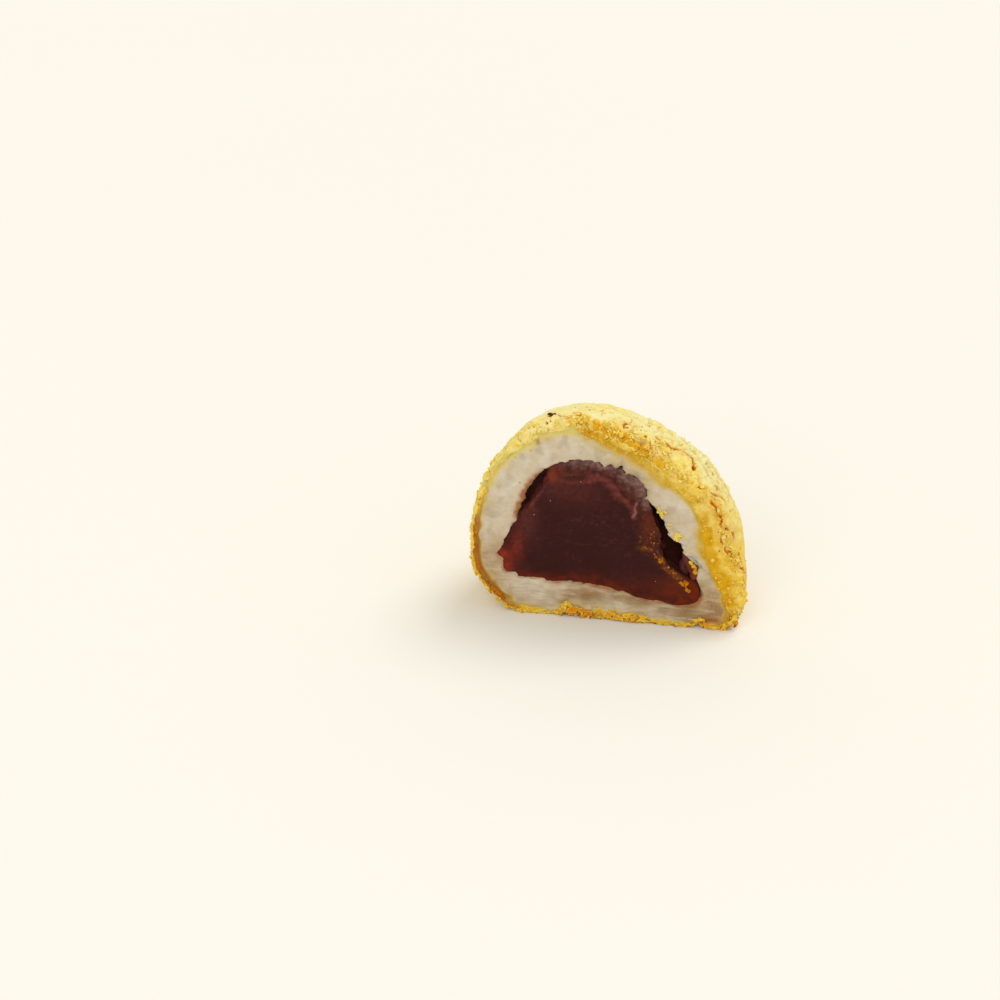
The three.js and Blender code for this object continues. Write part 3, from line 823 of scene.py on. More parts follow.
    # Painted shadow round each chunk of packed flour; then hollows are painted brown-orange as painted shade, and
    # crests pale as painted highlight.
    painted_shadow_and_crack_fringe = np.zeros(len(b))
    for deg, depth_at, long, wide_at, _, _ in CHUNKS:
        at = skin_point(deg, depth_at)
        near = np.where((abs(b - at) < 3.0).all(1))[0]
        d = np.linalg.norm(b[near] - at, axis=1) / (0.25 * (long + wide_at) + 0.25)
        painted_shadow_and_crack_fringe[near] = np.maximum(painted_shadow_and_crack_fringe[near], np.exp(-(d ** 4)))
    small, wide_ = hollowness(final, tris, 4)[shown], hollowness(final, tris, 22)[shown]
    painted_hollow_shade = np.clip(small / 0.06, -1, 1) * 0.35 + np.clip(wide_ / 0.20, -1, 1) * 0.75
    fade_out = 1 - fb * smooth(0.6, 0.9, vb)
    marks = {}
    for name, value in {
        "painted_hollow_shade": np.clip(painted_hollow_shade, 0, 1) * fade_out, "painted_crest_highlight": np.clip(-painted_hollow_shade, 0, 1) * fade_out,
        "gold": gold, "low": low, "broken": broken, "rich": rich, "brown": brown,
        "deep": np.clip(np.maximum(np.maximum(deep / 0.6, pit / 0.5), 0.55 * split), 0, 1) * fade_in,
        "gaps": gaps, "blend": fb * smooth(0.55, 1.0, vb),
        # painted shadow under the crust's lifted edge along the foot
        "under": np.exp(-((bz / 0.9) ** 2)) * np.exp(-((yb / 2.0) ** 2)) * smooth(-12, -9, bx) * (1 - 0.6 * smooth(6, 9, bx)),
        # painted shadow round the chunks, and an orange fringe painted round the cracks
        "face": fb, "painted_shadow_and_crack_fringe": np.maximum(painted_shadow_and_crack_fringe, np.clip(glow * (0.8 + 0.9 * noise(b, 0.8, 57)), 0, 1)) * (1 - fb * smooth(0.5, 0.9, vb)),
    }.items():
        full = np.zeros(len(base))
        full[shown] = value
        marks[name] = full
    return net, final, tris, marks, t, y, out, face, v


def coat_material():
    m = Shade("kinako_coat")
    gold, low, rich, brown = m.mark("gold"), m.mark("low"), m.mark("rich"), m.mark("brown")
    deep, gaps, blend, under, broken = m.mark("deep"), m.mark("gaps"), m.mark("blend"), m.mark("under"), m.mark("broken")
    painted_hollow_shade, painted_crest_highlight = m.mark("painted_hollow_shade"), m.mark("painted_crest_highlight")
    broad, mid, fine = m.noise(7, 3, 0.55), m.noise(1.8, 3, 0.6), m.noise(0.42, 3, 0.6)
    pale = m.mix(m.spread(broad, 0.35, 0.7), srgb(233, 222, 158), srgb(230, 209, 120))
    pale = m.mix(m.spread(mid, 0.45, 0.75, 0.0, 0.25), pale, srgb(216, 204, 134))
    # golder low down: partly damper flour, partly painted shade and warm reflected light
    pale = m.mix(m.spread(low, 0.02, 0.80, 0.0, 0.95), pale, srgb(232, 195, 82))
    middle = m.mix(m.spread(mid, 0.3, 0.7), srgb(237, 202, 68), srgb(243, 220, 120))
    color = m.mix(gold, pale, middle)
    color = m.mix(m.math("MULTIPLY", rich, 0.97), color, m.mix(m.spread(mid, 0.3, 0.7), srgb(206, 146, 0), srgb(221, 168, 0)))
    # light crumbs and edges on the broken parts
    light = m.math("MULTIPLY", m.math("MULTIPLY", broken, m.math("SUBTRACT", 1.0, rich)), m.spread(fine, 0.52, 0.66, 0.0, 0.32))
    color = m.mix(light, color, srgb(245, 226, 146))
    # towards the rice the flour is damp and see-through
    color = m.mix(m.math("MULTIPLY", blend, m.spread(rich, 0.0, 0.35, 0.5, 0.0)), color, srgb(222, 198, 120))
    # brown band: damp flour, with painted shade on the cut face down the left
    brown_tone = m.mix(m.spread(mid, 0.35, 0.65), srgb(186, 106, 22), srgb(160, 76, 8))
    color = m.mix(m.spread(brown, 0.05, 0.80, 0.0, 0.96), color, brown_tone)
    # painted shadow under the crust along the foot
    color = m.mix(m.math("MULTIPLY", under, 0.92), color, srgb(160, 66, 8))
    # painted shade: hollows darker brown-orange
    color = m.mix(m.math("MULTIPLY", painted_hollow_shade, 0.52), color, m.mix(gold, srgb(208, 176, 84), srgb(204, 142, 22)))
    # painted highlight: crests paler
    color = m.mix(m.math("MULTIPLY", painted_crest_highlight, m.spread(rich, 0.0, 0.8, 0.38, 0.08)), color, m.mix(gold, srgb(246, 234, 172), srgb(248, 210, 74)))
    # painted shadow round the chunks, and an orange fringe painted round the cracks
    color = m.mix(m.math("MULTIPLY", m.mark("painted_shadow_and_crack_fringe"), 0.50), color, srgb(206, 132, 20))
    # thin dark seams between plates of packed flour
    seam = m.cells(1.9, "DISTANCE_TO_EDGE", vector=m.warped(1.6, 0.32))
    open_ = m.math("MULTIPLY", m.spread(m.noise(2.6, 2, 0.5), 0.46, 0.60), m.math("MAXIMUM", broken, 0.12))
    seamed = m.math("MULTIPLY", m.spread(seam, 0.012, 0.055, 1.0, 0.0), open_)
    color = m.mix(m.math("MULTIPLY", seamed, 0.8), color, srgb(176, 104, 16))
    tan = m.mix(m.spread(fine, 0.28, 0.55), (0.89, 0.87, 0.79, 1), (1.02, 1.02, 1.02, 1))
    color = m.mix(m.spread(gold, 0.0, 0.6, 0.45, 1.0), color, tan, "MULTIPLY")
    # brown flecks of bean skin, and small pits painted in as dark dots (painted shade)
    fleck = m.spread(m.cells(1.9), 0.10, 0.045)
    fleck = m.math("MULTIPLY", fleck, m.spread(m.noise(5, 2, 0.5), 0.5, 0.62))
    color = m.mix(m.math("MULTIPLY", fleck, 0.7), color, srgb(140, 84, 24))
    # gaps between the plates painted darker orange: painted shade between them
    color = m.mix(m.spread(gaps, 0.3, 1.0, 0.0, 0.55), color, srgb(196, 122, 16))
    # cracks, splits and pits painted orange to dark brown by their depth: painted shade in the recesses
    color = m.mix(m.spread(deep, 0.04, 0.42), color, srgb(214, 134, 12))
    color = m.mix(m.spread(deep, 0.52, 0.90), color, srgb(150, 72, 8))
    bump = m.bump(fine, 0.08, 0.55)
    bump = m.bump(m.noise(0.16, 2, 0.6), 0.035, 0.5, bump)
    bump = m.bump(m.math("MULTIPLY", m.spread(seam, 0.0, 0.09), open_), 0.16, 0.7, bump)
    return m.finish(color, 0.96, bump, Specular_IOR_Level=0.03, Subsurface_Weight=0.25,
                    Subsurface_Radius=(1.0, 0.52, 0.10), Subsurface_Scale=0.0006)


coat_net, coat_points, coat_tris, coat_marks, coat_t, coat_y, coat_out, coat_face, coat_v = build_coat()
coat = make_object("kinako_coat_crust", coat_points, np.concatenate(coat_net.quads), np.concatenate(coat_net.tris),
                   coat_net.all_uv(), coat_marks)
coat.data.materials.append(coat_material())
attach(coat, "root")
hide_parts("kinako_coat")
print("coat", len(coat_tris), "triangles, volume", round(volume(coat_points, coat_tris) / 1000, 2), "cc")


# ----------------------------------------------------------------------- rice
def build_rice():
    net = Net()
    n = 760
    share = np.arange(n) / n
    t = even_angle(share)
    flat = np.stack([np.cos(t) * 9, np.sin(t) * 9, 0 * t], -1)
    deg = np.degrees(t) % 360
    wild = np.exp(-(((deg + 20) % 360 - 50) / 42) ** 2)          # torn more round the hollow and above it
    rag = (0.20 * noise(flat, 0.6, 61) + 0.16 * noise(flat, 0.24, 62)) * (0.8 + 0.6 * wild)
    inward = np.stack([np.cos(t), 0 * t, np.sin(t)], -1)
    # Round the foot and the left the paste lies flush against it.
    flush = smooth(160, 172, deg) * (1 - smooth(326, 338, deg))

    def cavity(p):
        y = CORE_BACK * math.sin(p)
        return core(t, p + 0 * t) + inward * (rag * math.exp(-((y / 2.2) ** 2)) + edge_shift(t) * math.exp(-((y / 3.0) ** 2)))[:, None]

    front_in = cavity(0.0)
    rim_at, way, _, thick = outline(t)                            # it runs on under the flour's ragged border
    front_out = rim_at + way * np.maximum(thick - 0.85, 0.35)[:, None]
    width = np.linalg.norm(front_out - front_in, axis=1)
    rows = 58
    # outer wall first, from its back tip to the cut
    hidden = (np.arange(7, 0, -1) / 8) ** 1.1 * (math.pi / 2)
    tip = net.add(mound(np.array([0.0]), np.array([math.pi / 2]), COAT + 0.32, COAT_FOOT + 0.32), [[0.087, 0.087]])[0]
    last = None
    for j, pj in enumerate(hidden):
        q = mound(t, pj + 0 * t, COAT + 0.32, COAT_FOOT + 0.32)
        r = 0.085 * (j + 1) / 8
        ids = net.add(q, np.stack([0.087 + r * np.cos(2 * math.pi * share), 0.087 + r * np.sin(2 * math.pi * share)], -1), t=t)
        if last is None:
            net.tris.append(np.stack([np.full(n, tip), np.roll(ids, -1), ids], -1))
        else:
            net.quads.append(strip(ids, last)[:, ::-1])
        last = ids
    for j in range(rows + 1):
        v = 1 - j / rows                                          # 1 at the coat, 0 at the hollow
        v = v ** 1.1
        q = front_in * (1 - v) + front_out * v
        from_edge = v * width
        curl = (0.50 - 0.44 * flush) * np.clip(1 - from_edge / (0.55 + 0.25 * wild), 0, 1) ** 2
        q[:, 1] = 0.14 + curl
        r = 0.20 + 0.29 * v
        uv = np.stack([0.5 + r * np.cos(2 * math.pi * share), 0.5 + r * np.sin(2 * math.pi * share)], -1)
        ids = net.add(q, uv, t=t, face=1.0, edge=from_edge, rim=(1 - v) * width)
        net.quads.append(strip(ids, last)[:, ::-1] if j == 0 else strip(last, ids))
        last = ids
    walls = [0.9, 1.3, 1.7, 2.1, 2.6, 3.1, 3.7, 4.3, 5.0, 5.8, 6.7, 7.7, 9.0, 11.0, 14.0, 17.2, 19.7]
    for j, depth in enumerate(walls):
        q = cavity(math.asin(depth / CORE_BACK))
        r = 0.20 * (1 - (j + 1) / (len(walls) + 1))
        uv = np.stack([0.5 + r * np.cos(2 * math.pi * share), 0.5 + r * np.sin(2 * math.pi * share)], -1)
        ids = net.add(q, uv, t=t, wall=1.0, deep=depth)
        net.quads.append(strip(last, ids))
        last = ids
    tip = net.add(core(np.array([0.0]), np.array([math.pi / 2])), [[0.5, 0.5]], wall=1.0, deep=CORE_BACK)[0]
    net.tris.append(np.stack([last, np.roll(last, -1), np.full(n, tip)], -1))

    base = net.all_points()
    tris = net.all_tris()
    nv = normals(base, tris)
    face, wall, edge, rim, tt, deep = (net.mark(k) for k in ("face", "wall", "edge", "rim", "t", "deep"))
    shown = np.where((face > 0.5) | ((wall > 0.5) & (deep < 12)))[0]
    b, nb = base[shown], nv[shown]
    # Crushed grains, pressed together so that they hardly show, drawn out along the knife's way round the core.
    bend = np.stack([noise(b, 2.2, 170 + i) for i in range(3)], -1) * 0.7
    f1, f2, own = cells((b + bend) / np.array([2.2, 1.4, 1.3]), 1.0, 72)
    seam = np.clip(1 - (f2 - f1) * 3.0, 0, 1)
    drawn = np.stack([np.cos(tt[shown]) * 5.2, np.sin(tt[shown]) * 5.2, edge[shown] / 0.62 + 0.5 * noise(b, 3.0, 173)], -1)
    strand = noise(drawn, 1.0, 174)
    lobes = noise(b + bend, 2.7, 73)
    foot_zone = 1 - smooth(5.0, 10.0, b[:, 2])
    relief = 0.08 * (np.clip(1 - f1 * f1 * 1.3, 0, 1) * (0.45 + 0.55 * own) - 0.4) - 0.03 * seam ** 2 \
        + (0.20 + 0.14 * foot_zone) * lobes + 0.11 * noise(b, 1.3, 74) + (0.05 + 0.08 * foot_zone) * strand
    hole = np.clip(noise(b, 1.9, 76) - 0.80, 0, 1) * 1.2
    relief = relief - hole
    near_edge = np.exp(-(edge[shown] / 1.0) ** 2) * face[shown]
    relief = relief + near_edge * (0.20 * noise(b, 1.3, 77) + 0.10 * noise(b, 0.55, 78))
    relief = np.clip(relief, -0.7, 0.42)
    q = b + nb * relief[:, None]
    q[:, 1] = np.where(face[shown] > 0.5, np.maximum(q[:, 1], -0.22), q[:, 1])
    final = base.copy()
    final[shown] = q
    bx, bz = b[:, 0], b[:, 2]
    # Paler where the lobes and strands stand up and on named patches and streaks: painted highlight on the raised rice,
    # with some paler grains.
    light = 0.45 * smooth(0.30, 0.75, strand) * (0.35 + 0.65 * foot_zone) + 0.55 * smooth(0.1, 0.7, lobes) * (0.6 + 0.4 * foot_zone)
    for x, z, wide, tall, amount in ((-16.5, 4.6, 4.6, 2.1, 0.95), (2.9, 4.4, 1.7, 1.0, 0.7), (8.8, 3.9, 1.9, 0.9, 0.6),
                                     (18.3, 3.2, 3.6, 1.2, 0.45), (-22.5, 26, 3.0, 9.0, 0.35), (16.5, 27, 2.6, 7.0, 0.35)):
        light = np.maximum(light, amount * spot(bx + 0.6 * noise(b, 1.6, 84), bz + 0.4 * noise(b, 1.3, 85), x, z, wide, tall))
    light = np.maximum(light, 0.9 * stroke(bx, bz, [(-13.7, 6.8), (-11.3, 6.2), (-8.7, 5.5), (-6.8, 5.6)], 0.22))
    light = np.maximum(light, 0.6 * stroke(bx, bz, [(-3.4, 7.4), (0.2, 6.2), (2.0, 6.3), (4.6, 5.0)], 0.25))
    light = np.maximum(light, 0.6 * stroke(bx, bz, [(13.0, 4.6), (16.2, 4.9), (20.0, 4.2), (22.2, 2.9)], 0.3))
    # Darker between the lobes and strands, along seams and on named patches: painted shade in the rice's hollows.
    rice_shade = 0.5 * smooth(0.25, 0.8, -strand) * (0.3 + 0.7 * foot_zone) + 0.70 * smooth(0.05, 0.6, -lobes)
    rice_shade = np.maximum(rice_shade, 0.5 * seam ** 3 * smooth(0.0, 0.5, noise(b, 3.3, 86)))
    for x, z, wide, tall, amount in ((-6.0, 5.3, 3.4, 1.0, 0.55), (-20.8, 12.0, 1.2, 3.0, 0.5), (6.0, 5.4, 1.4, 0.8, 0.5),
                                     (-12.2, 37.4, 2.2, 1.0, 0.35), (10.8, 32.6, 1.6, 2.2, 0.4)):
        rice_shade = np.maximum(rice_shade, amount * spot(bx + 0.6 * noise(b, 1.6, 87), bz + 0.4 * noise(b, 1.3, 88), x, z, wide, tall))
    marks = {"light": np.clip(light, 0, 1), "rice_shade": np.clip(rice_shade, 0, 1), "hole": np.clip(hole * 2, 0, 1)}
    full = {}
    for name, value in marks.items():
        a = np.zeros(len(base))
        a[shown] = value
        full[name] = a
    x, z = base[:, 0], base[:, 2]
    # Flour rubbed into the rice beside the coat, wider down the right flank and over the top.
    deg = np.degrees(tt) % 360
    turned_deg = (deg + 180) % 360 - 180
    wide = 0.80 + 0.60 * np.exp(-(((turned_deg - 12) / 32) ** 2)) + 1.05 * np.exp(-((deg - 71) / 20) ** 2) \
        + 0.45 * np.exp(-((deg - 105) / 25) ** 2)
    wide *= 1 - 0.72 * np.exp(-(((turned_deg - 32) / 16) ** 2))
    past = np.maximum(0, rim - 0.95)                 # the outermost part lies under the flour
    full["coaty"] = face * np.exp(-(past / (wide * np.clip(1 + 0.9 * noise(base, 2.2, 79), 0.3, 2))) ** 1.5)
    full["coaty"] *= 1 - 0.6 * (1 - smooth(3.0, 6.0, z)) * smooth(-20, -16, x) * (1 - smooth(18, 22, x))
    full["gilt"] = np.clip(at_cut(RICH, RICH_FOOT, tt, x, z) * (1.1 + 0.7 * noise(base, 2.4, 89)), 0, 1) * face
    full["browned"] = at_cut(BROWN, BROWN_FOOT, tt, x, z) * face
    # the hollow's walls, painted browner and darker with depth: painted shade in the hollow
    full["wall"] = np.maximum(wall, 0) * smooth(0.4, 1.3, deep)
    full["depth"] = smooth(1.0, 7.0, deep) * wall
    # Browner low down on both sides, and in a strip under the paste: painted shade and warm reflected light low down.
    cloud = 0.35 * noise(base, 3.0, 82)
    full["warm"] = face * np.clip(np.maximum(np.maximum(
        1.0 * (1 - smooth(5.0, 19.0, z)) * smooth(10, 18, x),
        0.80 * (1 - smooth(11.0, 24.0, z)) * (1 - smooth(-24.5, -19, x)) * smooth(2, 8, z)),
        0.30 * (1 - smooth(5.0, 8.0, z)) + 0.18 * (1 - smooth(24, 32, z))) + cloud * 0.6, 0, 1)
    # Darker, browner rice along the paste's lower edge and on patches near the foot: partly the rice's lilac-brown
    # tone, partly painted shade low down.
    mauve_and_shade = smooth(215, 240, deg) * (1 - smooth(326, 336, deg)) * np.exp(-((np.maximum(0, edge - 0.5) / 1.3) ** 2)) * (0.85 + 1.4 * cloud)
    for at_x, at_z, wide_, tall, amount in ((-4.4, 5.8, 4.0, 1.9, 1.0), (15.5, 3.2, 4.6, 1.5, 0.75), (22.5, 4.4, 2.4, 3.0, 0.6),
                                            (3.6, 5.8, 4.0, 1.3, 0.85), (8.4, 5.6, 3.0, 1.6, 0.95), (-10.0, 3.6, 2.0, 0.9, 0.5)):
        mauve_and_shade = np.maximum(mauve_and_shade, amount * spot(x + 0.8 * cloud, z + 0.6 * cloud, at_x, at_z, wide_, tall))
    full["mauve_and_shade"] = face * np.clip(mauve_and_shade, 0, 1)
    # Bean paste rubbed on the rice's edge along the crevice, at the lower right and along the foot.
    crevice = np.exp(-(((deg - 146) / 21) ** 4)) * np.exp(-((edge / 1.15) ** 2)) * face * 1.15
    low_right = np.exp(-(((deg - 334) / 12) ** 2)) * np.exp(-((np.maximum(0, edge - 0.3) / 0.8) ** 2)) * face * 0.6
    under = np.exp(-((np.maximum(0, edge - 0.3) / 0.6) ** 2)) * face * 0.42 * smooth(172, 190, deg) * (1 - smooth(325, 342, deg))
    full["bean"] = np.clip(np.maximum(np.maximum(crevice, low_right), under) * (1.0 + 0.6 * noise(base, 1.2, 80)), 0, 1)
    stain = np.zeros(len(base))
    for at_x, at_z, wx, wz, amount in ((22.7, 2.0, 2.1, 0.7, 1.0), (21.0, 1.5, 0.9, 0.6, 0.8), (-16.1, 41.4, 0.5, 0.9, 0.7),
                                       (26.0, 5.5, 0.7, 2.6, 0.35), (-19.7, 31.6, 0.16, 0.16, 1.0)):
        d = np.hypot((x - at_x) / wx, (z - at_z) / wz)
        stain = np.maximum(stain, amount * np.exp(-(d ** 2) * (1 + 0.5 * noise(base, 1.1, 81))))
    full["stain"] = stain * face
    # darker rice along the frayed edge at the upper right: painted shade beside the frayed edge
    full["torn"] = np.exp(-(((deg - 68) / 28) ** 2)) * np.exp(-((edge / 1.9) ** 2)) * face
    return net, final, tris, full, t, front_in, front_out


def rice_material():
    m = Shade("rice")
    coaty, gilt, wall, depth = m.mark("coaty"), m.mark("gilt"), m.mark("wall"), m.mark("depth")
    bean, stain, warm, mauve_and_shade, torn = m.mark("bean"), m.mark("stain"), m.mark("warm"), m.mark("mauve_and_shade"), m.mark("torn")
    light, rice_shade, hole = m.mark("light"), m.mark("rice_shade"), m.mark("hole")
    cloud, mid, fine = m.noise(5.0, 3, 0.55), m.noise(1.6, 3, 0.6), m.noise(0.45, 2, 0.6)
    color = m.mix(m.spread(cloud, 0.35, 0.65), srgb(213, 191, 158), srgb(222, 204, 178))
    # painted shade between the lobes
    color = m.mix(m.math("MULTIPLY", rice_shade, 0.50), color, srgb(170, 152, 112))
    # painted highlight on the lobes and strands
    color = m.mix(m.math("MULTIPLY", light, 0.60), color, srgb(230, 218, 200))
    color = m.mix(m.spread(mid, 0.5, 0.75, 0.0, 0.25), color, srgb(188, 168, 128))
    # painted shade and warm reflected light low down
    color = m.mix(m.math("MULTIPLY", warm, 0.95), color, (0.67, 0.52, 0.32, 1), "MULTIPLY")
    # lilac-brown tone and painted shade low down
    color = m.mix(m.math("MULTIPLY", mauve_and_shade, 0.95), color, (0.55, 0.37, 0.19, 1), "MULTIPLY")
    drawn = m.noise(0.8, 3, 0.65, stretch=(0.22, 1.0, 1.0))
    low = m.math("MAXIMUM", m.math("MAXIMUM", warm, mauve_and_shade), m.math("MULTIPLY", light, 0.6))
    color = m.mix(m.math("MULTIPLY", low, m.spread(drawn, 0.50, 0.66, 0.0, 0.45)), color, srgb(150, 118, 88))
    color = m.mix(m.math("MULTIPLY", low, m.spread(drawn, 0.46, 0.34, 0.0, 0.35)), color, srgb(226, 210, 188))
    # painted shade beside the frayed edge at the upper right
    color = m.mix(m.math("MULTIPLY", torn, 0.70), color, srgb(168, 138, 96))
    # holes painted darker: painted shade in them
    color = m.mix(m.spread(hole, 0.1, 0.8, 0.0, 0.5), color, srgb(150, 126, 92))
    near = m.mix(m.spread(m.noise(0.8, 3, 0.6), 0.35, 0.65), srgb(208, 150, 0), srgb(218, 172, 22))
    color = m.mix(m.spread(coaty, 0.0, 0.42, 0.0, 0.60), color, m.mix(gilt, srgb(226, 208, 140), srgb(210, 180, 100)))
    color = m.mix(m.spread(coaty, 0.38, 0.95, 0.0, 0.96), color, m.mix(gilt, srgb(228, 202, 106), near))
    color = m.mix(m.math("MULTIPLY", m.spread(coaty, 0.1, 0.9), m.mark("browned")), color, srgb(168, 108, 26))
    color = m.mix(m.spread(bean, 0.05, 0.9, 0.0, 0.92), color, m.mix(m.spread(mid, 0.35, 0.65), srgb(158, 80, 42), srgb(166, 102, 38)))
    color = m.mix(stain, color, srgb(170, 96, 34))
    # painted shade: the hollow's walls browner and darker with depth
    color = m.mix(m.spread(wall, 0.0, 1.0, 0.0, 0.98), color, m.mix(depth, srgb(128, 88, 70), srgb(104, 60, 46)))
    color = m.mix(1.0, color, (0.945, 0.975, 1.02, 1), "MULTIPLY")
    bump = m.bump(fine, 0.04, 0.25)
    bump = m.bump(m.math("MULTIPLY", m.noise(0.5, 3, 0.65), coaty), 0.16, 0.8, bump)
    rough = m.spread(mid, 0.2, 0.8, 0.42, 0.58)
    return m.finish(color, rough, bump, Specular_IOR_Level=0.25, Subsurface_Weight=0.40,
                    Subsurface_Radius=(1.0, 0.72, 0.45), Subsurface_Scale=0.0016)


rice_net, rice_points, rice_tris, rice_marks, rice_t, rice_in, rice_out = build_rice()
rice = make_object("rice_layer", rice_points, np.concatenate(rice_net.quads), np.concatenate(rice_net.tris),
                   rice_net.all_uv(), rice_marks)
rice.data.materials.append(rice_material())
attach(rice, "root")
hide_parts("rice")
print("rice", len(rice_tris), "triangles, volume", round(volume(rice_points, rice_tris) / 1000, 2), "cc")


# ----------------------------------------------------------------------- anko
def build_anko():
    net = Net()
    k = 88
    share, ring, quads, rim_ids = disc(k)

    def core_outline(t, y):
        """The core's skin at a depth, drawn in from the hollow; it touches the rice elsewhere, and at the cut
        its edge lies under the rice's round the foot and the left."""
        p = np.arcsin(np.clip(y / CORE_BACK, 0, 1))
        full = core(t, np.zeros_like(t), -0.32)
        shift = edge_shift(t)
        radius = np.hypot(full[:, 0] - CORE_X, full[:, 2] - CORE_Z) + shift
        deg = np.degrees(t) % 360
        at, far = np.array(HOLLOW_EDGE, float).T
        shut = np.maximum(0, radius - np.interp(np.where(deg < 180, deg + 360, deg), at, far, 99, 99))
        shut = shut * np.maximum(0, 1 - (y / GAP_DEPTH) ** 3)
        flush = smooth(160, 172, deg) * (1 - smooth(322, 332, deg))
        touch = (0.36 + 0.42 * flush) * (1 - smooth(0.1, 0.6, shut)) * np.exp(-(y / 2.0) ** 2)
        q = core(t, p, -0.32)
        out = np.stack([np.cos(t), 0 * t, np.sin(t)], -1)
        q = q + out * (touch + shift * np.exp(-((y / 3.0) ** 2)) - shut)[:, None]
        q[:, 1] = y
        return q

    angle = 2 * math.pi * share
    te = angle[rim_ids]
    flat = np.stack([np.cos(te) * 9, np.sin(te) * 9, 0 * te], -1)
    edge0 = core_outline(te, 0 * te)
    reach = np.hypot(edge0[:, 0] - CORE_X, edge0[:, 2] - CORE_Z)
    deg = np.degrees(te) % 360
    torn = smooth(6, 22, deg) * (1 - smooth(150, 166, deg))
    flush = smooth(160, 172, deg) * (1 - smooth(322, 332, deg))
    drawn = by_angle(FACET_EDGE, te)
    plain = reach - 0.55 - 0.15 * noise(flat, 0.5, 90)
    facet = np.minimum(drawn * torn + plain * (1 - torn), plain)
    facet = facet + torn * (0.22 * noise(flat, 0.6, 91) + 0.16 * noise(flat, 0.24, 92))
    facet = np.minimum(facet, reach - 0.3)
    ragged = (0.26 * noise(flat, 0.9, 93) + 0.16 * noise(flat, 0.35, 94)) * (1 - 0.6 * flush)
    out = np.stack([np.cos(te), 0 * te, np.sin(te)], -1)

    facet_here = np.interp(share * 8 * k, np.arange(8 * k + 1), np.append(facet, facet[0]))
    r = facet_here * ring / k
    points = np.stack([CORE_X + r * np.cos(angle), 0.10 + 0 * r, CORE_Z + r * np.sin(angle)], -1)
    radius = 0.32 * ring / k
    uv = np.stack([0.5 + radius * np.cos(angle), 0.5 + radius * np.sin(angle)], -1)
    ids = net.add(points, uv, t=angle, front=1.0, inset=facet_here - r)
    net.quads.append(ids[quads])
    last = ids[rim_ids]

    rows = 16
    wide = reach + ragged - facet
    # How far the rim steps back: little where it is flush, most along the crevice at the upper left.
    crevice = np.exp(-(((deg - 139) / 17) ** 4))
    step = 0.32 - 0.08 * flush + 0.55 * np.clip((wide - 0.8) / 3.0, 0, 1) + 1.9 * crevice
    for j in range(1, rows + 1):
        v = j / rows
        r = facet + wide * v
        fall = step * smooth(0.0, 1.0, np.clip(np.full(len(te), v) ** 0.75 / (1 - 0.45 * crevice), 0, 1))
        q = np.stack([CORE_X + r * np.cos(te), 0.10 + fall, CORE_Z + r * np.sin(te)], -1)
        rr = 0.32 + 0.09 * v
        uv = np.stack([0.5 + rr * np.cos(te), 0.5 + rr * np.sin(te)], -1)
        ids = net.add(q, uv, t=te, front=1.0, rimv=v, wide=wide)
        net.quads.append(strip(last, ids)[:, ::-1])
        last = ids
    walls = [0.5, 1.0, 1.5, 2.0, 2.5, 3.0, 3.6, 4.2, 4.9, 5.6, 6.4, 7.2, 8.2, 10.0, 13.0, 16.5, 19.4]
    for j, depth in enumerate(walls):
        y = 0.10 + step + depth * (1 - (0.10 + step) / CORE_BACK)
        q = core_outline(te, np.minimum(y, CORE_BACK * 0.985))
        q = q + out * (ragged * np.exp(-(depth / 1.4) ** 2))[:, None]
        rr = 0.41 + 0.08 * (j + 1) / (len(walls) + 1)
        uv = np.stack([0.5 + rr * np.cos(te), 0.5 + rr * np.sin(te)], -1)
        ids = net.add(q, uv, t=te, side=1.0, deep=depth)
        net.quads.append(strip(last, ids)[:, ::-1])
        last = ids
    tip = net.add([[CORE_X, CORE_BACK - 0.32, CORE_Z]], [[0.995, 0.5]], side=1.0, deep=CORE_BACK)[0]
    net.tris.append(np.stack([np.roll(last, -1), last, np.full(len(last), tip)], -1))

    base = net.all_points()
    tris = net.all_tris()
    nv = normals(base, tris)
    front, inset, rimv, wide_all, side, deep, tt = (
        net.mark(key) for key in ("front", "inset", "rimv", "wide", "side", "deep", "t"))
    b = base
    degs = np.degrees(tt) % 360
    torn = np.where(side > 0, 0.7, smooth(0.0, 0.25, rimv) * np.clip(wide_all / 1.6, 0.35, 1))
    facet_zone = front * (1 - smooth(0, 0.15, rimv))
    drag = noise(b * np.array([0.13, 1.0, 1.0]), 0.55, 101) * 0.030 + noise(b * np.array([0.2, 1, 1]), 1.4, 102) * 0.045
    relief = facet_zone * (drag + 0.05 * noise(b, 5.0, 103) + 0.012 * noise(b, 0.5, 104))
    near_rim = np.exp(-(inset / 0.7) ** 2) * facet_zone * (1 - smooth(160, 172, degs) * (1 - smooth(322, 332, degs)))
    relief += near_rim * (0.07 + 0.10 * noise(b, 1.0, 105))
    relief += torn * (0.34 * noise(b, 2.6, 106) + 0.22 * noise(b, 1.2, 107) + 0.07 * noise(b, 0.5, 108))
    # the loose lump at the upper left of the facet
    lump_at = np.array([CORE_X + 18.9 * math.cos(math.radians(120.5)), 0.6, CORE_Z + 18.9 * math.sin(math.radians(120.5))])
    lump = np.exp(-(np.hypot((b[:, 0] - lump_at[0]) / 1.3, (b[:, 2] - lump_at[2]) / 1.9) ** 2)) * front
    relief += 0.55 * lump * smooth(0.05, 0.3, rimv)
    relief = np.clip(relief, -0.8, 0.8)
    q = b + nv * relief[:, None]
    q[:, 1] = np.where(front > 0.5, np.maximum(q[:, 1], -0.18), q[:, 1])
    x, z = base[:, 0], base[:, 2]
    px, pz = x + 0.35 * noise(base, 0.9, 113), z + 0.35 * noise(base, 0.9, 114)
    marks = {"torn": np.clip(torn, 0, 1) * front, "lump": lump}
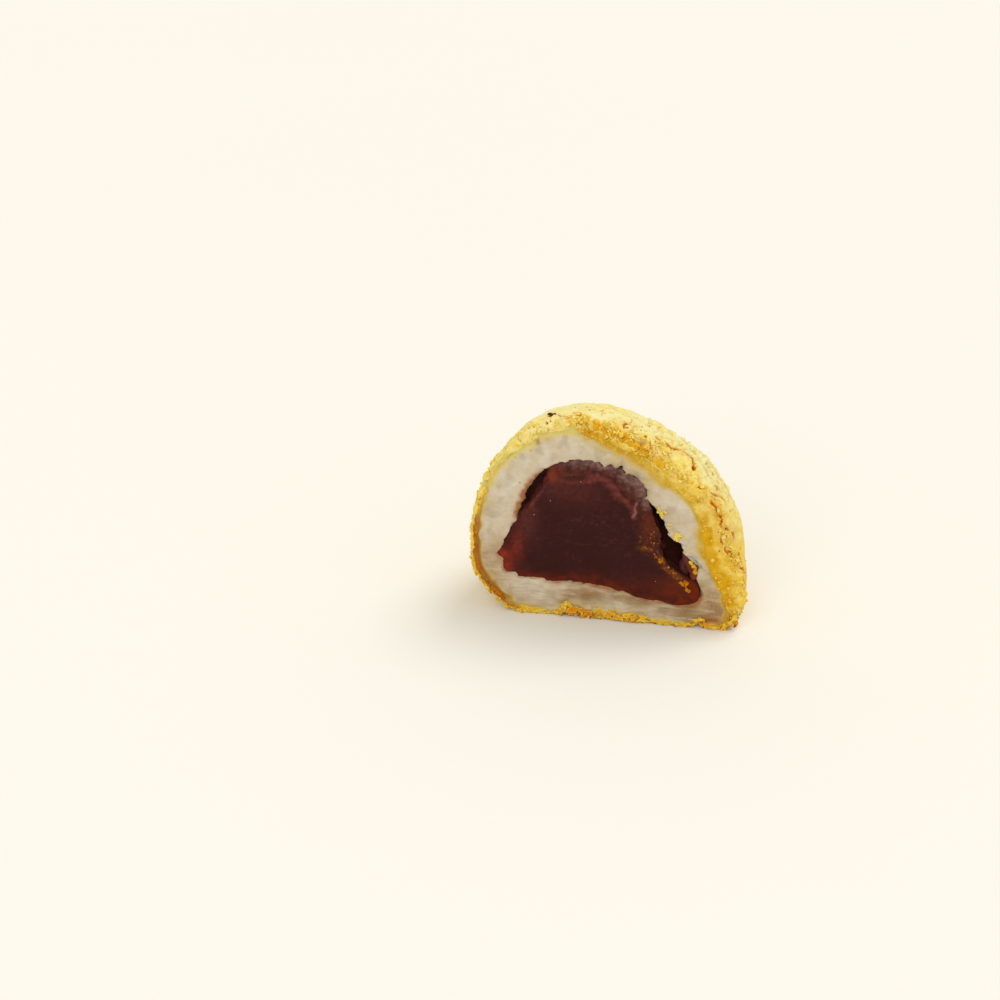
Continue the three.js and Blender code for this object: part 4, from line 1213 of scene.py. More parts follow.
    # The knife facet's bruised upper border: a soft, pinkish line with a thicker fold at the right.
    rosy = 0.75 * stroke(px, pz, [(-14.5, 34.2), (-15.0, 31.3), (-16.2, 29.3), (-17.0, 27.8), (-17.2, 25.9)], 0.75)
    rosy = np.maximum(rosy, 0.50 * stroke(px, pz, [(-14.0, 33.4), (-10.0, 32.6), (-6.9, 32.6), (-5.0, 33.4)], 0.7))
    rosy = np.maximum(rosy, 0.80 * stroke(px, pz, [(-5.0, 33.4), (-3.6, 34.2), (-2.3, 34.1), (-1.0, 33.0), (0.2, 31.9), (0.6, 30.6)], 0.95))
    rosy = np.maximum(rosy, 0.80 * stroke(px, pz, [(0.9, 30.8), (2.0, 29.6), (3.3, 28.6), (4.4, 27.6), (4.6, 25.6)], 0.65))
    rosy = np.maximum(rosy, 0.35 * spot(x, z, -18.2, 23.5, 2.6, 5.0))
    rosy = np.maximum(rosy, 0.30 * spot(x, z, -9.0, 31.0, 7.0, 3.5))
    marks["rosy"] = np.clip(rosy * (1.0 + 0.6 * noise(base, 0.9, 115)), 0, 1) * front
    marks["streak"] = stroke(x + 0.12 * noise(base, 0.7, 116), z, [(5.0, 29.0), (4.6, 27.9), (4.9, 26.6), (4.3, 25.7)], 0.24) * front
    within = np.where(rimv > 0, 0, inset)
    lower = np.exp(-((within / 2.3) ** 2)) * smooth(195, 212, degs) * (1 - smooth(325, 352, degs))
    tip_l = spot(x, z, -22.8, 12.5, 2.7, 4.4)
    blush = np.maximum(spot(px, pz, -23.0, 14.0, 1.7, 1.6), 0.9 * spot(px, pz, -22.0, 10.6, 1.3, 2.4))
    blush = np.maximum(blush, 0.6 * spot(px, pz, -20.0, 16.5, 1.3, 3.5))
    marks["blush"] = np.clip(blush * (0.9 + 0.6 * noise(base, 0.8, 121)), 0, 1) * front
    marks["fringe"] = smooth(0.02, 0.5, rimv) * front * smooth(196, 210, degs) * (1 - smooth(322, 334, degs)) * np.clip(
        0.75 + 0.8 * noise(base, 1.1, 122), 0, 1)
    tip_r = np.maximum(spot(x, z, 17.0, 7.6, 5.0, 4.4), 0.45 * spot(x, z, 8.0, 8.0, 12.0, 3.2))
    marks["red"] = np.clip(np.maximum(np.maximum(0.72 * lower, 0.85 * tip_l), tip_r) * (
        0.85 + 0.7 * noise(base, 2.2, 111) + 0.5 * noise(base, 0.9, 120)), 0, 1) * front
    marks["amber"] = np.clip(spot(px, pz, 7.6, 24.4, 1.6, 2.4) + spot(px, pz, 13.5, 9.5, 4.0, 2.6) * 0.7, 0, 1) * front
    # A torn film of rice over the upper right of the rim.
    film = stroke(px, pz, [(-2.7, 36.9), (-0.5, 35.4), (1.6, 33.9), (3.8, 32.4), (5.7, 30.5)], 1.25)
    marks["smear"] = np.clip(film * smooth(0.10, 0.45, rimv) * (0.95 + 0.8 * noise(base, 1.0, 112)), 0, 1) * front
    filmy = smooth(0.35, 0.95, rimv + 0.25 * noise(base, 0.8, 123)) * smooth(38, 48, degs) * (1 - smooth(88, 128, degs))
    marks["filmy"] = np.clip(filmy * (0.85 + 0.9 * noise(base, 0.9, 124)), 0, 1) * front
    # the crevice at the upper left, painted near black: painted shade
    marks["crevice"] = np.exp(-(((degs - 140) / 19) ** 4)) * smooth(0.10, 0.45, rimv) * front
    # Flour carried onto the paste: a smudge beside the hollow, then a thin trail to the lower right.
    trail = stroke(px, pz, [(8.2, 20.2), (8.8, 18.0), (10.9, 15.8), (12.4, 13.8), (14.2, 12.4), (16.6, 10.0)], 0.75)
    dust = np.maximum(spot(px, pz, 8.3, 20.2, 1.7, 2.6), 0.8 * trail)
    marks["dust"] = np.clip(dust * (0.9 + 0.5 * noise(base, 0.7, 117)), 0, 1) * front
    grit = np.clip(dust * 1.3, 0, 1) * smooth(0.18, 0.62, noise(base, 0.55, 118))
    for at_x, at_z, wide_, tall in ((7.2, 18.3, 1.1, 0.55), (10.7, 16.1, 0.5, 0.8), (11.9, 13.9, 0.6, 0.4), (13.6, 13.1, 0.9, 0.4),
                                    (14.8, 12.0, 0.7, 0.4)):
        grit = np.maximum(grit, spot(px, pz, at_x, at_z, wide_, tall) * (0.75 + 0.5 * noise(base, 0.5, 119)))
    marks["grit"] = np.clip(grit, 0, 1) * front
    marks["skin"] = np.clip(side, 0, 1) * smooth(0.3, 1.6, deep)
    return net, q, tris, marks


def anko_material():
    m = Shade("anko")
    torn, lump, rosy, red = m.mark("torn"), m.mark("lump"), m.mark("rosy"), m.mark("red")
    smear, dust, skin, crevice, grit = m.mark("smear"), m.mark("dust"), m.mark("skin"), m.mark("crevice"), m.mark("grit")
    cloud, mid, fine = m.noise(6, 3, 0.55), m.noise(1.4, 3, 0.6), m.noise(0.3, 2, 0.6)
    drag = m.noise(0.8, 3, 0.6, stretch=(0.16, 1.0, 1.0))
    color = m.mix(m.spread(cloud, 0.3, 0.7), srgb(53, 19, 16), srgb(57, 23, 23))
    color = m.mix(m.spread(drag, 0.58, 0.80, 0.0, 0.18), color, srgb(92, 58, 54))
    # paler and darker mottling on the same noise as the bump: painted highlight on the lumps and painted shade between
    # them
    grain = m.noise(0.8, 3, 0.7)
    patchy = m.math("MULTIPLY", m.spread(cloud, 0.42, 0.60, 0.20, 1.0), m.math("SUBTRACT", 1.0, m.math("MULTIPLY", red, 0.6)))
    color = m.mix(m.math("MULTIPLY", patchy, m.spread(grain, 0.55, 0.70, 0.0, 0.32)), color, srgb(100, 54, 50))
    color = m.mix(m.math("MULTIPLY", patchy, m.spread(grain, 0.46, 0.34, 0.0, 0.40)), color, srgb(42, 13, 14))
    color = m.mix(m.spread(torn, 0.1, 0.9, 0.0, 0.8), color, m.mix(m.spread(m.noise(2.2, 3, 0.5), 0.35, 0.65), srgb(62, 24, 19), srgb(92, 42, 32)))
    color = m.mix(m.math("MULTIPLY", rosy, 0.90), color, srgb(118, 56, 48))
    color = m.mix(m.math("MULTIPLY", m.mark("amber"), 0.65), color, srgb(104, 42, 18))
    color = m.mix(m.math("MULTIPLY", red, 0.92), color, m.mix(m.spread(mid, 0.35, 0.65), srgb(102, 27, 2), srgb(108, 38, 4)))
    color = m.mix(m.math("MULTIPLY", m.mark("blush"), 0.85), color, srgb(142, 48, 34))
    color = m.mix(m.math("MULTIPLY", m.mark("fringe"), 0.85), color, srgb(140, 66, 34))
    color = m.mix(m.math("MULTIPLY", lump, 0.75), color, srgb(132, 52, 28))
    # painted shade in the crevice at the upper left
    color = m.mix(m.math("MULTIPLY", crevice, 0.85), color, srgb(36, 16, 12))
    drawn = m.noise(0.9, 3, 0.6, stretch=(0.45, 1.0, 1.0))
    color = m.mix(m.math("MULTIPLY", smear, m.spread(mid, 0.3, 0.65, 0.40, 0.85)), color, m.mix(
        m.spread(drawn, 0.35, 0.65), srgb(96, 56, 52), srgb(140, 102, 88)))
    color = m.mix(m.math("MULTIPLY", m.mark("filmy"), 0.66), color, m.mix(m.spread(drawn, 0.25, 0.75), srgb(122, 86, 84), srgb(160, 128, 118)))
    color = m.mix(m.math("MULTIPLY", m.mark("streak"), 0.7), color, srgb(150, 100, 92))
    color = m.mix(m.math("MULTIPLY", dust, m.spread(m.noise(0.7, 3, 0.7), 0.40, 0.66, 0.20, 0.85)), color, srgb(120, 54, 20))
    color = m.mix(m.math("MULTIPLY", grit, 0.62), color, m.mix(m.spread(m.noise(0.35, 2, 0.6), 0.40, 0.70), srgb(136, 72, 24), srgb(176, 118, 46)))
    color = m.mix(m.math("MULTIPLY", skin, 0.8), color, srgb(86, 42, 34))
    bump = m.bump(fine, 0.05, 0.30)
    bump = m.bump(grain, 0.16, 0.5, bump)
    rough = m.spread(mid, 0.25, 0.75, 0.42, 0.56)
    return m.finish(color, rough, bump, Specular_IOR_Level=0.08)


anko_net, anko_points, anko_tris, anko_marks = build_anko()
anko = make_object("anko_core", anko_points, np.concatenate(anko_net.quads), np.concatenate(anko_net.tris),
                   anko_net.all_uv(), anko_marks)
anko.data.materials.append(anko_material())
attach(anko, "root")
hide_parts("anko")
print("anko", len(anko_tris), "triangles, volume", round(volume(anko_points, anko_tris) / 1000, 2), "cc")


# ------------------------------------------------------------ scattered bits
def ball(level):
    bm = bmesh.new()
    bmesh.ops.create_icosphere(bm, subdivisions=level, radius=1.0)
    bm.verts.ensure_lookup_table()
    v = np.array([x.co[:] for x in bm.verts])
    f = np.array([[x.index for x in face.verts] for face in bm.faces])
    bm.free()
    return v, f


BALLS = {2: ball(2), 4: ball(4)}


def random_turns(rng, n):
    q = rng.normal(size=(n, 4))
    q /= np.linalg.norm(q, axis=1, keepdims=True)
    w, x, y, z = q.T
    return np.stack([np.stack([1 - 2 * (y * y + z * z), 2 * (x * y - z * w), 2 * (x * z + y * w)], -1),
                     np.stack([2 * (x * y + z * w), 1 - 2 * (x * x + z * z), 2 * (y * z - x * w)], -1),
                     np.stack([2 * (x * z - y * w), 2 * (y * z + x * w), 1 - 2 * (x * x + y * y)], -1)], 1)


def lumps(rng, centres, sizes, flat=(0.65, 1.0), rough=0.28, level=1, turns=None, shapes=None):
    """One irregular closed lump at each centre; sizes are their longest widths in mm."""
    v, f = BALLS[level]
    n = len(centres)
    kinds = 24
    seeds = [np.clip(1 + rough * np.random.default_rng(900 + level * 50 + k).normal(size=len(v)), 0.45, 1.6)
             for k in range(kinds)]
    pick = rng.integers(0, kinds, n)
    if shapes is None:
        shapes = np.stack([np.ones(n), rng.uniform(*flat, n), rng.uniform(*flat, n)], -1)
    if turns is None:
        turns = random_turns(rng, n)
    verts = np.stack([v * seeds[k][:, None] for k in range(kinds)])[pick]      # n, m, 3
    verts = verts * shapes[:, None, :] * (sizes / 2)[:, None, None]
    verts = np.einsum("nij,nmj->nmi", turns, verts) + centres[:, None, :]
    faces = f[None] + (np.arange(n) * len(v))[:, None, None]
    return verts.reshape(-1, 3), faces.reshape(-1, 3), len(v)


class Heap:
    """Lumps of one kind, gathered into one piece."""

    def __init__(self, seed):
        self.rng = np.random.default_rng(seed)
        self.v, self.f, self.marks, self.count = [], [], {}, 0

    def drop(self, centres, sizes, marks=None, **how):
        centres = np.asarray(centres, float)
        how.setdefault("level", 2)
        how.setdefault("rough", 0.12)
        v, f, m = lumps(self.rng, centres, np.asarray(sizes, float), **how)
        v[:, 2] = np.maximum(v[:, 2], 0.0)
        v[:, 1] = np.maximum(v[:, 1], -0.90)
        self.v.append(v)
        self.f.append(f + self.count)
        self.count += len(v)
        for key in ("tone", "damp_and_shade"):
            value = np.broadcast_to((marks or {}).get(key, 0.0), len(centres))
            self.marks.setdefault(key, []).append(np.repeat(value, m))

    def make(self, name, material, slot, rounded=True):
        v, f = np.concatenate(self.v), np.concatenate(self.f)
        ob = make_object(name, v, np.zeros((0, 4)), f, None, {k: np.concatenate(m) for k, m in self.marks.items()}, rounded)
        ob.data.materials.append(material)
        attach(ob, "root")
        print(name, len(f), "triangles")
        return ob


coat_normals = normals(coat_points, coat_tris)
coat_area = np.bincount(coat_tris.ravel(), np.repeat(
    np.linalg.norm(np.cross(coat_points[coat_tris[:, 1]] - coat_points[coat_tris[:, 0]],
                            coat_points[coat_tris[:, 2]] - coat_points[coat_tris[:, 0]]), axis=1) / 6, 3),
    len(coat_points))


def pick_on(rng, points, norms, weight, n, sizes, sink=0.18):
    ids = rng.choice(len(points), n, p=weight / weight.sum())
    return points[ids] + norms[ids] * (sizes * sink)[:, None], ids


def build_crumbs():
    heap = Heap(301)
    rng = heap.rng
    few = 1.0
    deg = np.degrees(coat_t) % 360
    shown = (coat_out > 0.5) | ((coat_face > 0.5) & (coat_v < 0.85))
    above = coat_points[:, 2] > 0.4
    # along the golden band and the cut face of the coat
    weight = coat_area * shown * above * coat_marks["gold"] * np.exp(-(coat_y / 2.5) ** 2)
    weight *= 0.4 + smooth(-0.1, 0.5, noise(coat_points, 2.4, 311))
    deg_here = np.degrees(coat_t) % 360
    # the brown band down the left (damp flour, partly painted shade) is bare but for its outer edge
    bare = 1 - smooth(150, 160, deg_here) * (1 - smooth(222, 230, deg_here)) * smooth(0.1, 0.2, coat_v) * coat_face
    weight = weight * bare
    n = int(190 * few)
    sizes = np.clip(rng.lognormal(math.log(0.44), 0.40, n), 0.22, 1.0)
    c, ids = pick_on(rng, coat_points, coat_normals, weight, n, sizes, 0.05)
    heap.drop(c, sizes, {"tone": rng.uniform(0.20, 0.60, n)})
    # sparse over the pale skin, more low down
    weight = coat_area * (coat_out > 0.5) * above * (0.25 + coat_marks["low"]) * (
        0.1 + smooth(0.1, 0.6, noise(coat_points, 4.5, 312)))
    n = int(260 * few)
    sizes = np.clip(rng.lognormal(math.log(0.24), 0.32, n), 0.12, 0.6)
    c, ids = pick_on(rng, coat_points, coat_normals, weight, n, sizes)
    heap.drop(c, sizes, {"tone": rng.uniform(0.0, 0.45, n)})
    # named clusters
    for at, depth, spread, count in CLUSTERS:
        centre = skin_point(at, depth)
        d = np.linalg.norm(coat_points - centre, axis=1)
        weight = coat_area * shown * np.exp(-((d / spread) ** 2))
        sizes = np.clip(rng.lognormal(math.log(0.42), 0.35, count), 0.18, 1.0)
        c, ids = pick_on(rng, coat_points, coat_normals, weight, count, sizes)
        heap.drop(c, sizes, {"tone": rng.uniform(0.02, 0.50, count)})
    # pale ones along the skyline of the right shoulder
    weight = coat_area * (coat_out > 0.5) * np.exp(-(((deg_here - 48) / 26) ** 2)) * np.exp(-(((coat_y - 10) / 4.5) ** 2)) * (
        0.2 + smooth(-0.1, 0.4, noise(coat_points, 2.0, 314)))
    n = int(90 * few)
    sizes = np.clip(rng.lognormal(math.log(0.48), 0.38, n), 0.2, 1.1)
    c, ids = pick_on(rng, coat_points, coat_normals, weight, n, sizes, 0.0)
    heap.drop(c, sizes, {"tone": rng.uniform(0.0, 0.22, n)}, flat=(0.45, 0.8))
    # the lip under the cut and round the lower left
    weight = coat_area * shown * (coat_points[:, 2] < 3.2) * np.exp(-(coat_y / 1.2) ** 2) * (
        0.3 + smooth(-0.2, 0.5, noise(coat_points, 2.0, 313)))
    weight = weight * bare
    n = int(120 * few)
    sizes = np.clip(rng.lognormal(math.log(0.40), 0.40, n), 0.16, 1.1)
    c, ids = pick_on(rng, coat_points, coat_normals, weight, n, sizes, 0.15)
    heap.drop(c, sizes, {"tone": rng.uniform(0.4, 1.0, n)})
    for x, z, count in ((-8.8, 3.5, 26), (-2.6, 2.3, 14), (3.9, 2.0, 12), (19.6, 2.2, 16)):
        weight = coat_area * np.exp(-(((coat_points[:, 0] - x) / 0.8) ** 2) - (((coat_points[:, 2] - z) / 0.7) ** 2)) * (
            coat_points[:, 1] < 0.8)
        sizes = np.clip(rng.lognormal(math.log(0.46), 0.35, count), 0.2, 0.9)
        c, ids = pick_on(rng, coat_points, coat_normals, weight, count, sizes, 0.05)
        heap.drop(c, sizes, {"tone": rng.uniform(0.1, 0.7, count)})
    # on the rice, near the coat, with a few by name
    weight = rice_marks["coaty"] ** 2.0 * (1 - rice_marks["browned"]) ** 2
    norms = normals(rice_points, rice_tris)
    n = int(80 * few)
    sizes = np.clip(rng.lognormal(math.log(0.30), 0.36, n), 0.14, 0.6)
    c, ids = pick_on(rng, rice_points, norms, weight, n, sizes, 0.08)
    heap.drop(c, sizes, {"tone": rng.uniform(0.35, 0.70, n)})
    for x, z, w, h, count, big in ((10.3, 26.8, 0.6, 0.6, 20, 0.50), (14.1, 21.8, 0.85, 0.5, 34, 0.52),
                                   (9.5, 28.2, 0.4, 0.4, 7, 0.4), (12.2, 24.4, 0.4, 0.8, 8, 0.3), (16.4, 18.8, 0.4, 0.8, 7, 0.28)):
        weight = np.exp(-(((rice_points[:, 0] - x) / w) ** 2) - (((rice_points[:, 2] - z) / h) ** 2)) * (
            rice_points[:, 1] < 1.6)
        sizes = np.clip(rng.lognormal(math.log(big), 0.35, count), 0.16, 1.0)
        c, ids = pick_on(rng, rice_points, norms, weight, count, sizes)
        heap.drop(c, sizes, {"tone": rng.uniform(0.0, 0.40, count)})
    # dust dragged over the bean paste
    norms = normals(anko_points, anko_tris)
    weight = anko_marks["grit"] ** 2
    n = int(46 * few)
    sizes = np.clip(rng.lognormal(math.log(0.17), 0.35, n), 0.09, 0.36)
    c, ids = pick_on(rng, anko_points, norms, weight, n, sizes, 0.06)
    heap.drop(c, sizes, {"tone": rng.uniform(0.7, 1.0, n), "damp_and_shade": rng.uniform(0.65, 1.0, n)})
    for x, z, w, count, big in ((16.2, 10.6, 0.50, 16, 0.62), (17.0, 9.2, 0.35, 6, 0.5), (10.7, 15.9, 0.35, 7, 0.36),
                                (12.4, 14.4, 0.3, 3, 0.3), (13.9, 12.9, 0.5, 6, 0.3), (8.9, 19.6, 0.5, 6, 0.30)):
        weight = np.exp(-(((anko_points[:, 0] - x) / w) ** 2) - (((anko_points[:, 2] - z) / w) ** 2)) * (
            anko_points[:, 1] < 2.5)
        sizes = np.clip(rng.lognormal(math.log(big), 0.3, count), 0.16, 0.9)
        c, ids = pick_on(rng, anko_points, norms, weight, count, sizes)
        heap.drop(c, sizes, {"tone": rng.uniform(0.8, 1.0, count), "damp_and_shade": rng.uniform(0.25, 0.80, count)})
    # a long crumb on the paste that stuck to the hollow's right side
    heap.drop([(17.2, 0.05, 15.9), (17.7, 0.0, 15.1), (18.1, 0.05, 14.2), (18.3, 0.1, 13.5)], [1.3, 1.75, 1.6, 1.1],
              {"tone": np.array([0.5, 0.7, 0.85, 0.6]), "damp_and_shade": np.array([0.0, 0.15, 0.25, 0.3])}, flat=(0.5, 0.75), level=2, rough=0.12)
    return heap


def crumb_material():
    m = Shade("kinako_crumbs")
    tone, damp_and_shade = m.mark("tone"), m.mark("damp_and_shade")
    fine = m.noise(0.3, 2, 0.6)
    color = m.mix(m.spread(tone, 0.0, 0.5), srgb(247, 222, 128), srgb(240, 196, 58))
    color = m.mix(m.spread(tone, 0.55, 1.0), color, srgb(224, 140, 14))
    color = m.mix(damp_and_shade, color, srgb(160, 78, 16))
    color = m.mix(1.0, color, m.mix(fine, (0.84, 0.84, 0.84, 1), (1.08, 1.08, 1.08, 1)), "MULTIPLY")
    return m.finish(color, 0.95, m.bump(fine, 0.04, 0.5), Specular_IOR_Level=0.03, Subsurface_Weight=0.3,
                    Subsurface_Radius=(1.0, 0.52, 0.10), Subsurface_Scale=0.0005)


crumbs = build_crumbs().make("kinako_crumbs", crumb_material(), "kinako_coat", rounded=False)


def facing(n):
    """Turns that lay a plate's flat side on each normal."""
    n = n / np.linalg.norm(n, axis=1, keepdims=True)
    help_ = np.where(np.abs(n[:, 2:3]) < 0.8, np.array([[0.0, 0.0, 1.0]]), np.array([[1.0, 0.0, 0.0]]))
    a = np.cross(help_, n)
    a /= np.linalg.norm(a, axis=1, keepdims=True)
    return np.stack([a, np.cross(n, a), n], -1)


class Flakes(Heap):
    """Thin, bent, ragged plates of packed flour."""

    def lay(self, centres, norms, lengths, widths=None, spin=None, lean=(0.1, 0.6), thick=(0.16, 0.32), bend=0.25,
            seg=9, rings=2, marks=None):
        rng = self.rng
        centres, norms, lengths = (np.asarray(a, float) for a in (centres, norms, lengths))
        n = len(centres)
        widths = lengths * rng.uniform(0.45, 0.95, n) if widths is None else np.asarray(widths, float)
        spin = rng.uniform(0, 2 * math.pi, n) if spin is None else np.asarray(spin, float)
        a = 2 * math.pi * np.arange(seg) / seg
        edge = 1 + sum(amp * rng.normal(size=(n, 1)) * np.cos(k * a + rng.uniform(0, 6.28, (n, 1)))
                       for k, amp in ((1, 0.12), (2, 0.18), (3, 0.17), (4, 0.13))) + rng.normal(size=(n, seg)) * 0.10
        edge = np.clip(edge, 0.40, 1.6)
        t = rng.uniform(*thick, n)
        curve = rng.normal(size=(n, 3)) * bend
        rim, top, low = [], [np.zeros((n, 1, 3))], [np.zeros((n, 1, 3))]
        top[0][:, 0, 2], low[0][:, 0, 2] = t / 2, -t / 2
        for j in range(1, rings + 1):
            r = j / rings
            x = np.cos(a) * edge * r
            y = np.sin(a) * edge * r
            z = curve[:, :1] * x * x + curve[:, 1:2] * y * y + curve[:, 2:] * x * y + rng.normal(size=(n, seg)) * 0.03
            x, y = x * lengths[:, None] / 2, y * widths[:, None] / 2
            z = z * lengths[:, None] / 2
            half = (t / 2)[:, None] * (1 - 0.35 * r)
            if j < rings:
                top.append(np.stack([x, y, z + half], -1))
                low.append(np.stack([x, y, z - half], -1))
            else:
                rim.append(np.stack([x, y, z + 0 * half], -1))
        local = np.concatenate(top + rim + low, 1)
        inner = 1 + (rings - 1) * seg
        at_rim = inner
        ring = lambda side, j: (np.arange(seg) + (1 + (j - 1) * seg if side == 0 else at_rim + seg + 1 + (j - 1) * seg)
                                ) if j < rings else np.arange(seg) + at_rim
        faces = []
        for side, middle in ((0, 0), (1, at_rim + seg)):
            first = ring(side, 1)
            fan = np.stack([np.full(seg, middle), first, np.roll(first, -1)], -1)
            faces.append(fan if side == 0 else fan[:, ::-1])
            for j in range(1, rings):
                u, w = ring(side, j), ring(side, j + 1)
                band = np.concatenate([np.stack([u, w, np.roll(w, -1)], -1), np.stack([u, np.roll(w, -1), np.roll(u, -1)], -1)])
                faces.append(band if side == 0 else band[:, ::-1])
        faces = np.concatenate(faces)
        c, s_ = np.cos(spin), np.sin(spin)
        zero, one = np.zeros(n), np.ones(n)
        turn = np.stack([np.stack([c, -s_, zero], -1), np.stack([s_, c, zero], -1), np.stack([zero, zero, one], -1)], 1)
        tilt = rng.uniform(*lean, n)
        way = rng.uniform(0, 2 * math.pi, n)
        tipped = np.stack([np.sin(tilt) * np.cos(way), np.sin(tilt) * np.sin(way), np.cos(tilt)], -1)
        base = facing(norms)
        up = np.einsum("nij,nj->ni", base, tipped)
        v = np.einsum("nij,njk,nmk->nmi", facing(up), turn, local) + centres[:, None, :]
        m = local.shape[1]
        v = v.reshape(-1, 3)
        v[:, 2] = np.maximum(v[:, 2], 0.0)
        v[:, 1] = np.maximum(v[:, 1], -0.90)
        self.v.append(v)
        self.f.append((faces[None] + (np.arange(n) * m)[:, None, None] + self.count).reshape(-1, 3))
        self.count += len(v)
        for key in ("tone", "damp_and_shade"):
            value = np.broadcast_to((marks or {}).get(key, 0.0), n)
            self.marks.setdefault(key, []).append(np.repeat(value, m))
        # the rim's points, marked for the painted highlight
        at_edge = np.zeros(m)
        at_edge[at_rim:at_rim + seg] = 1.0
        self.marks.setdefault("edge", []).append(np.tile(at_edge, n))


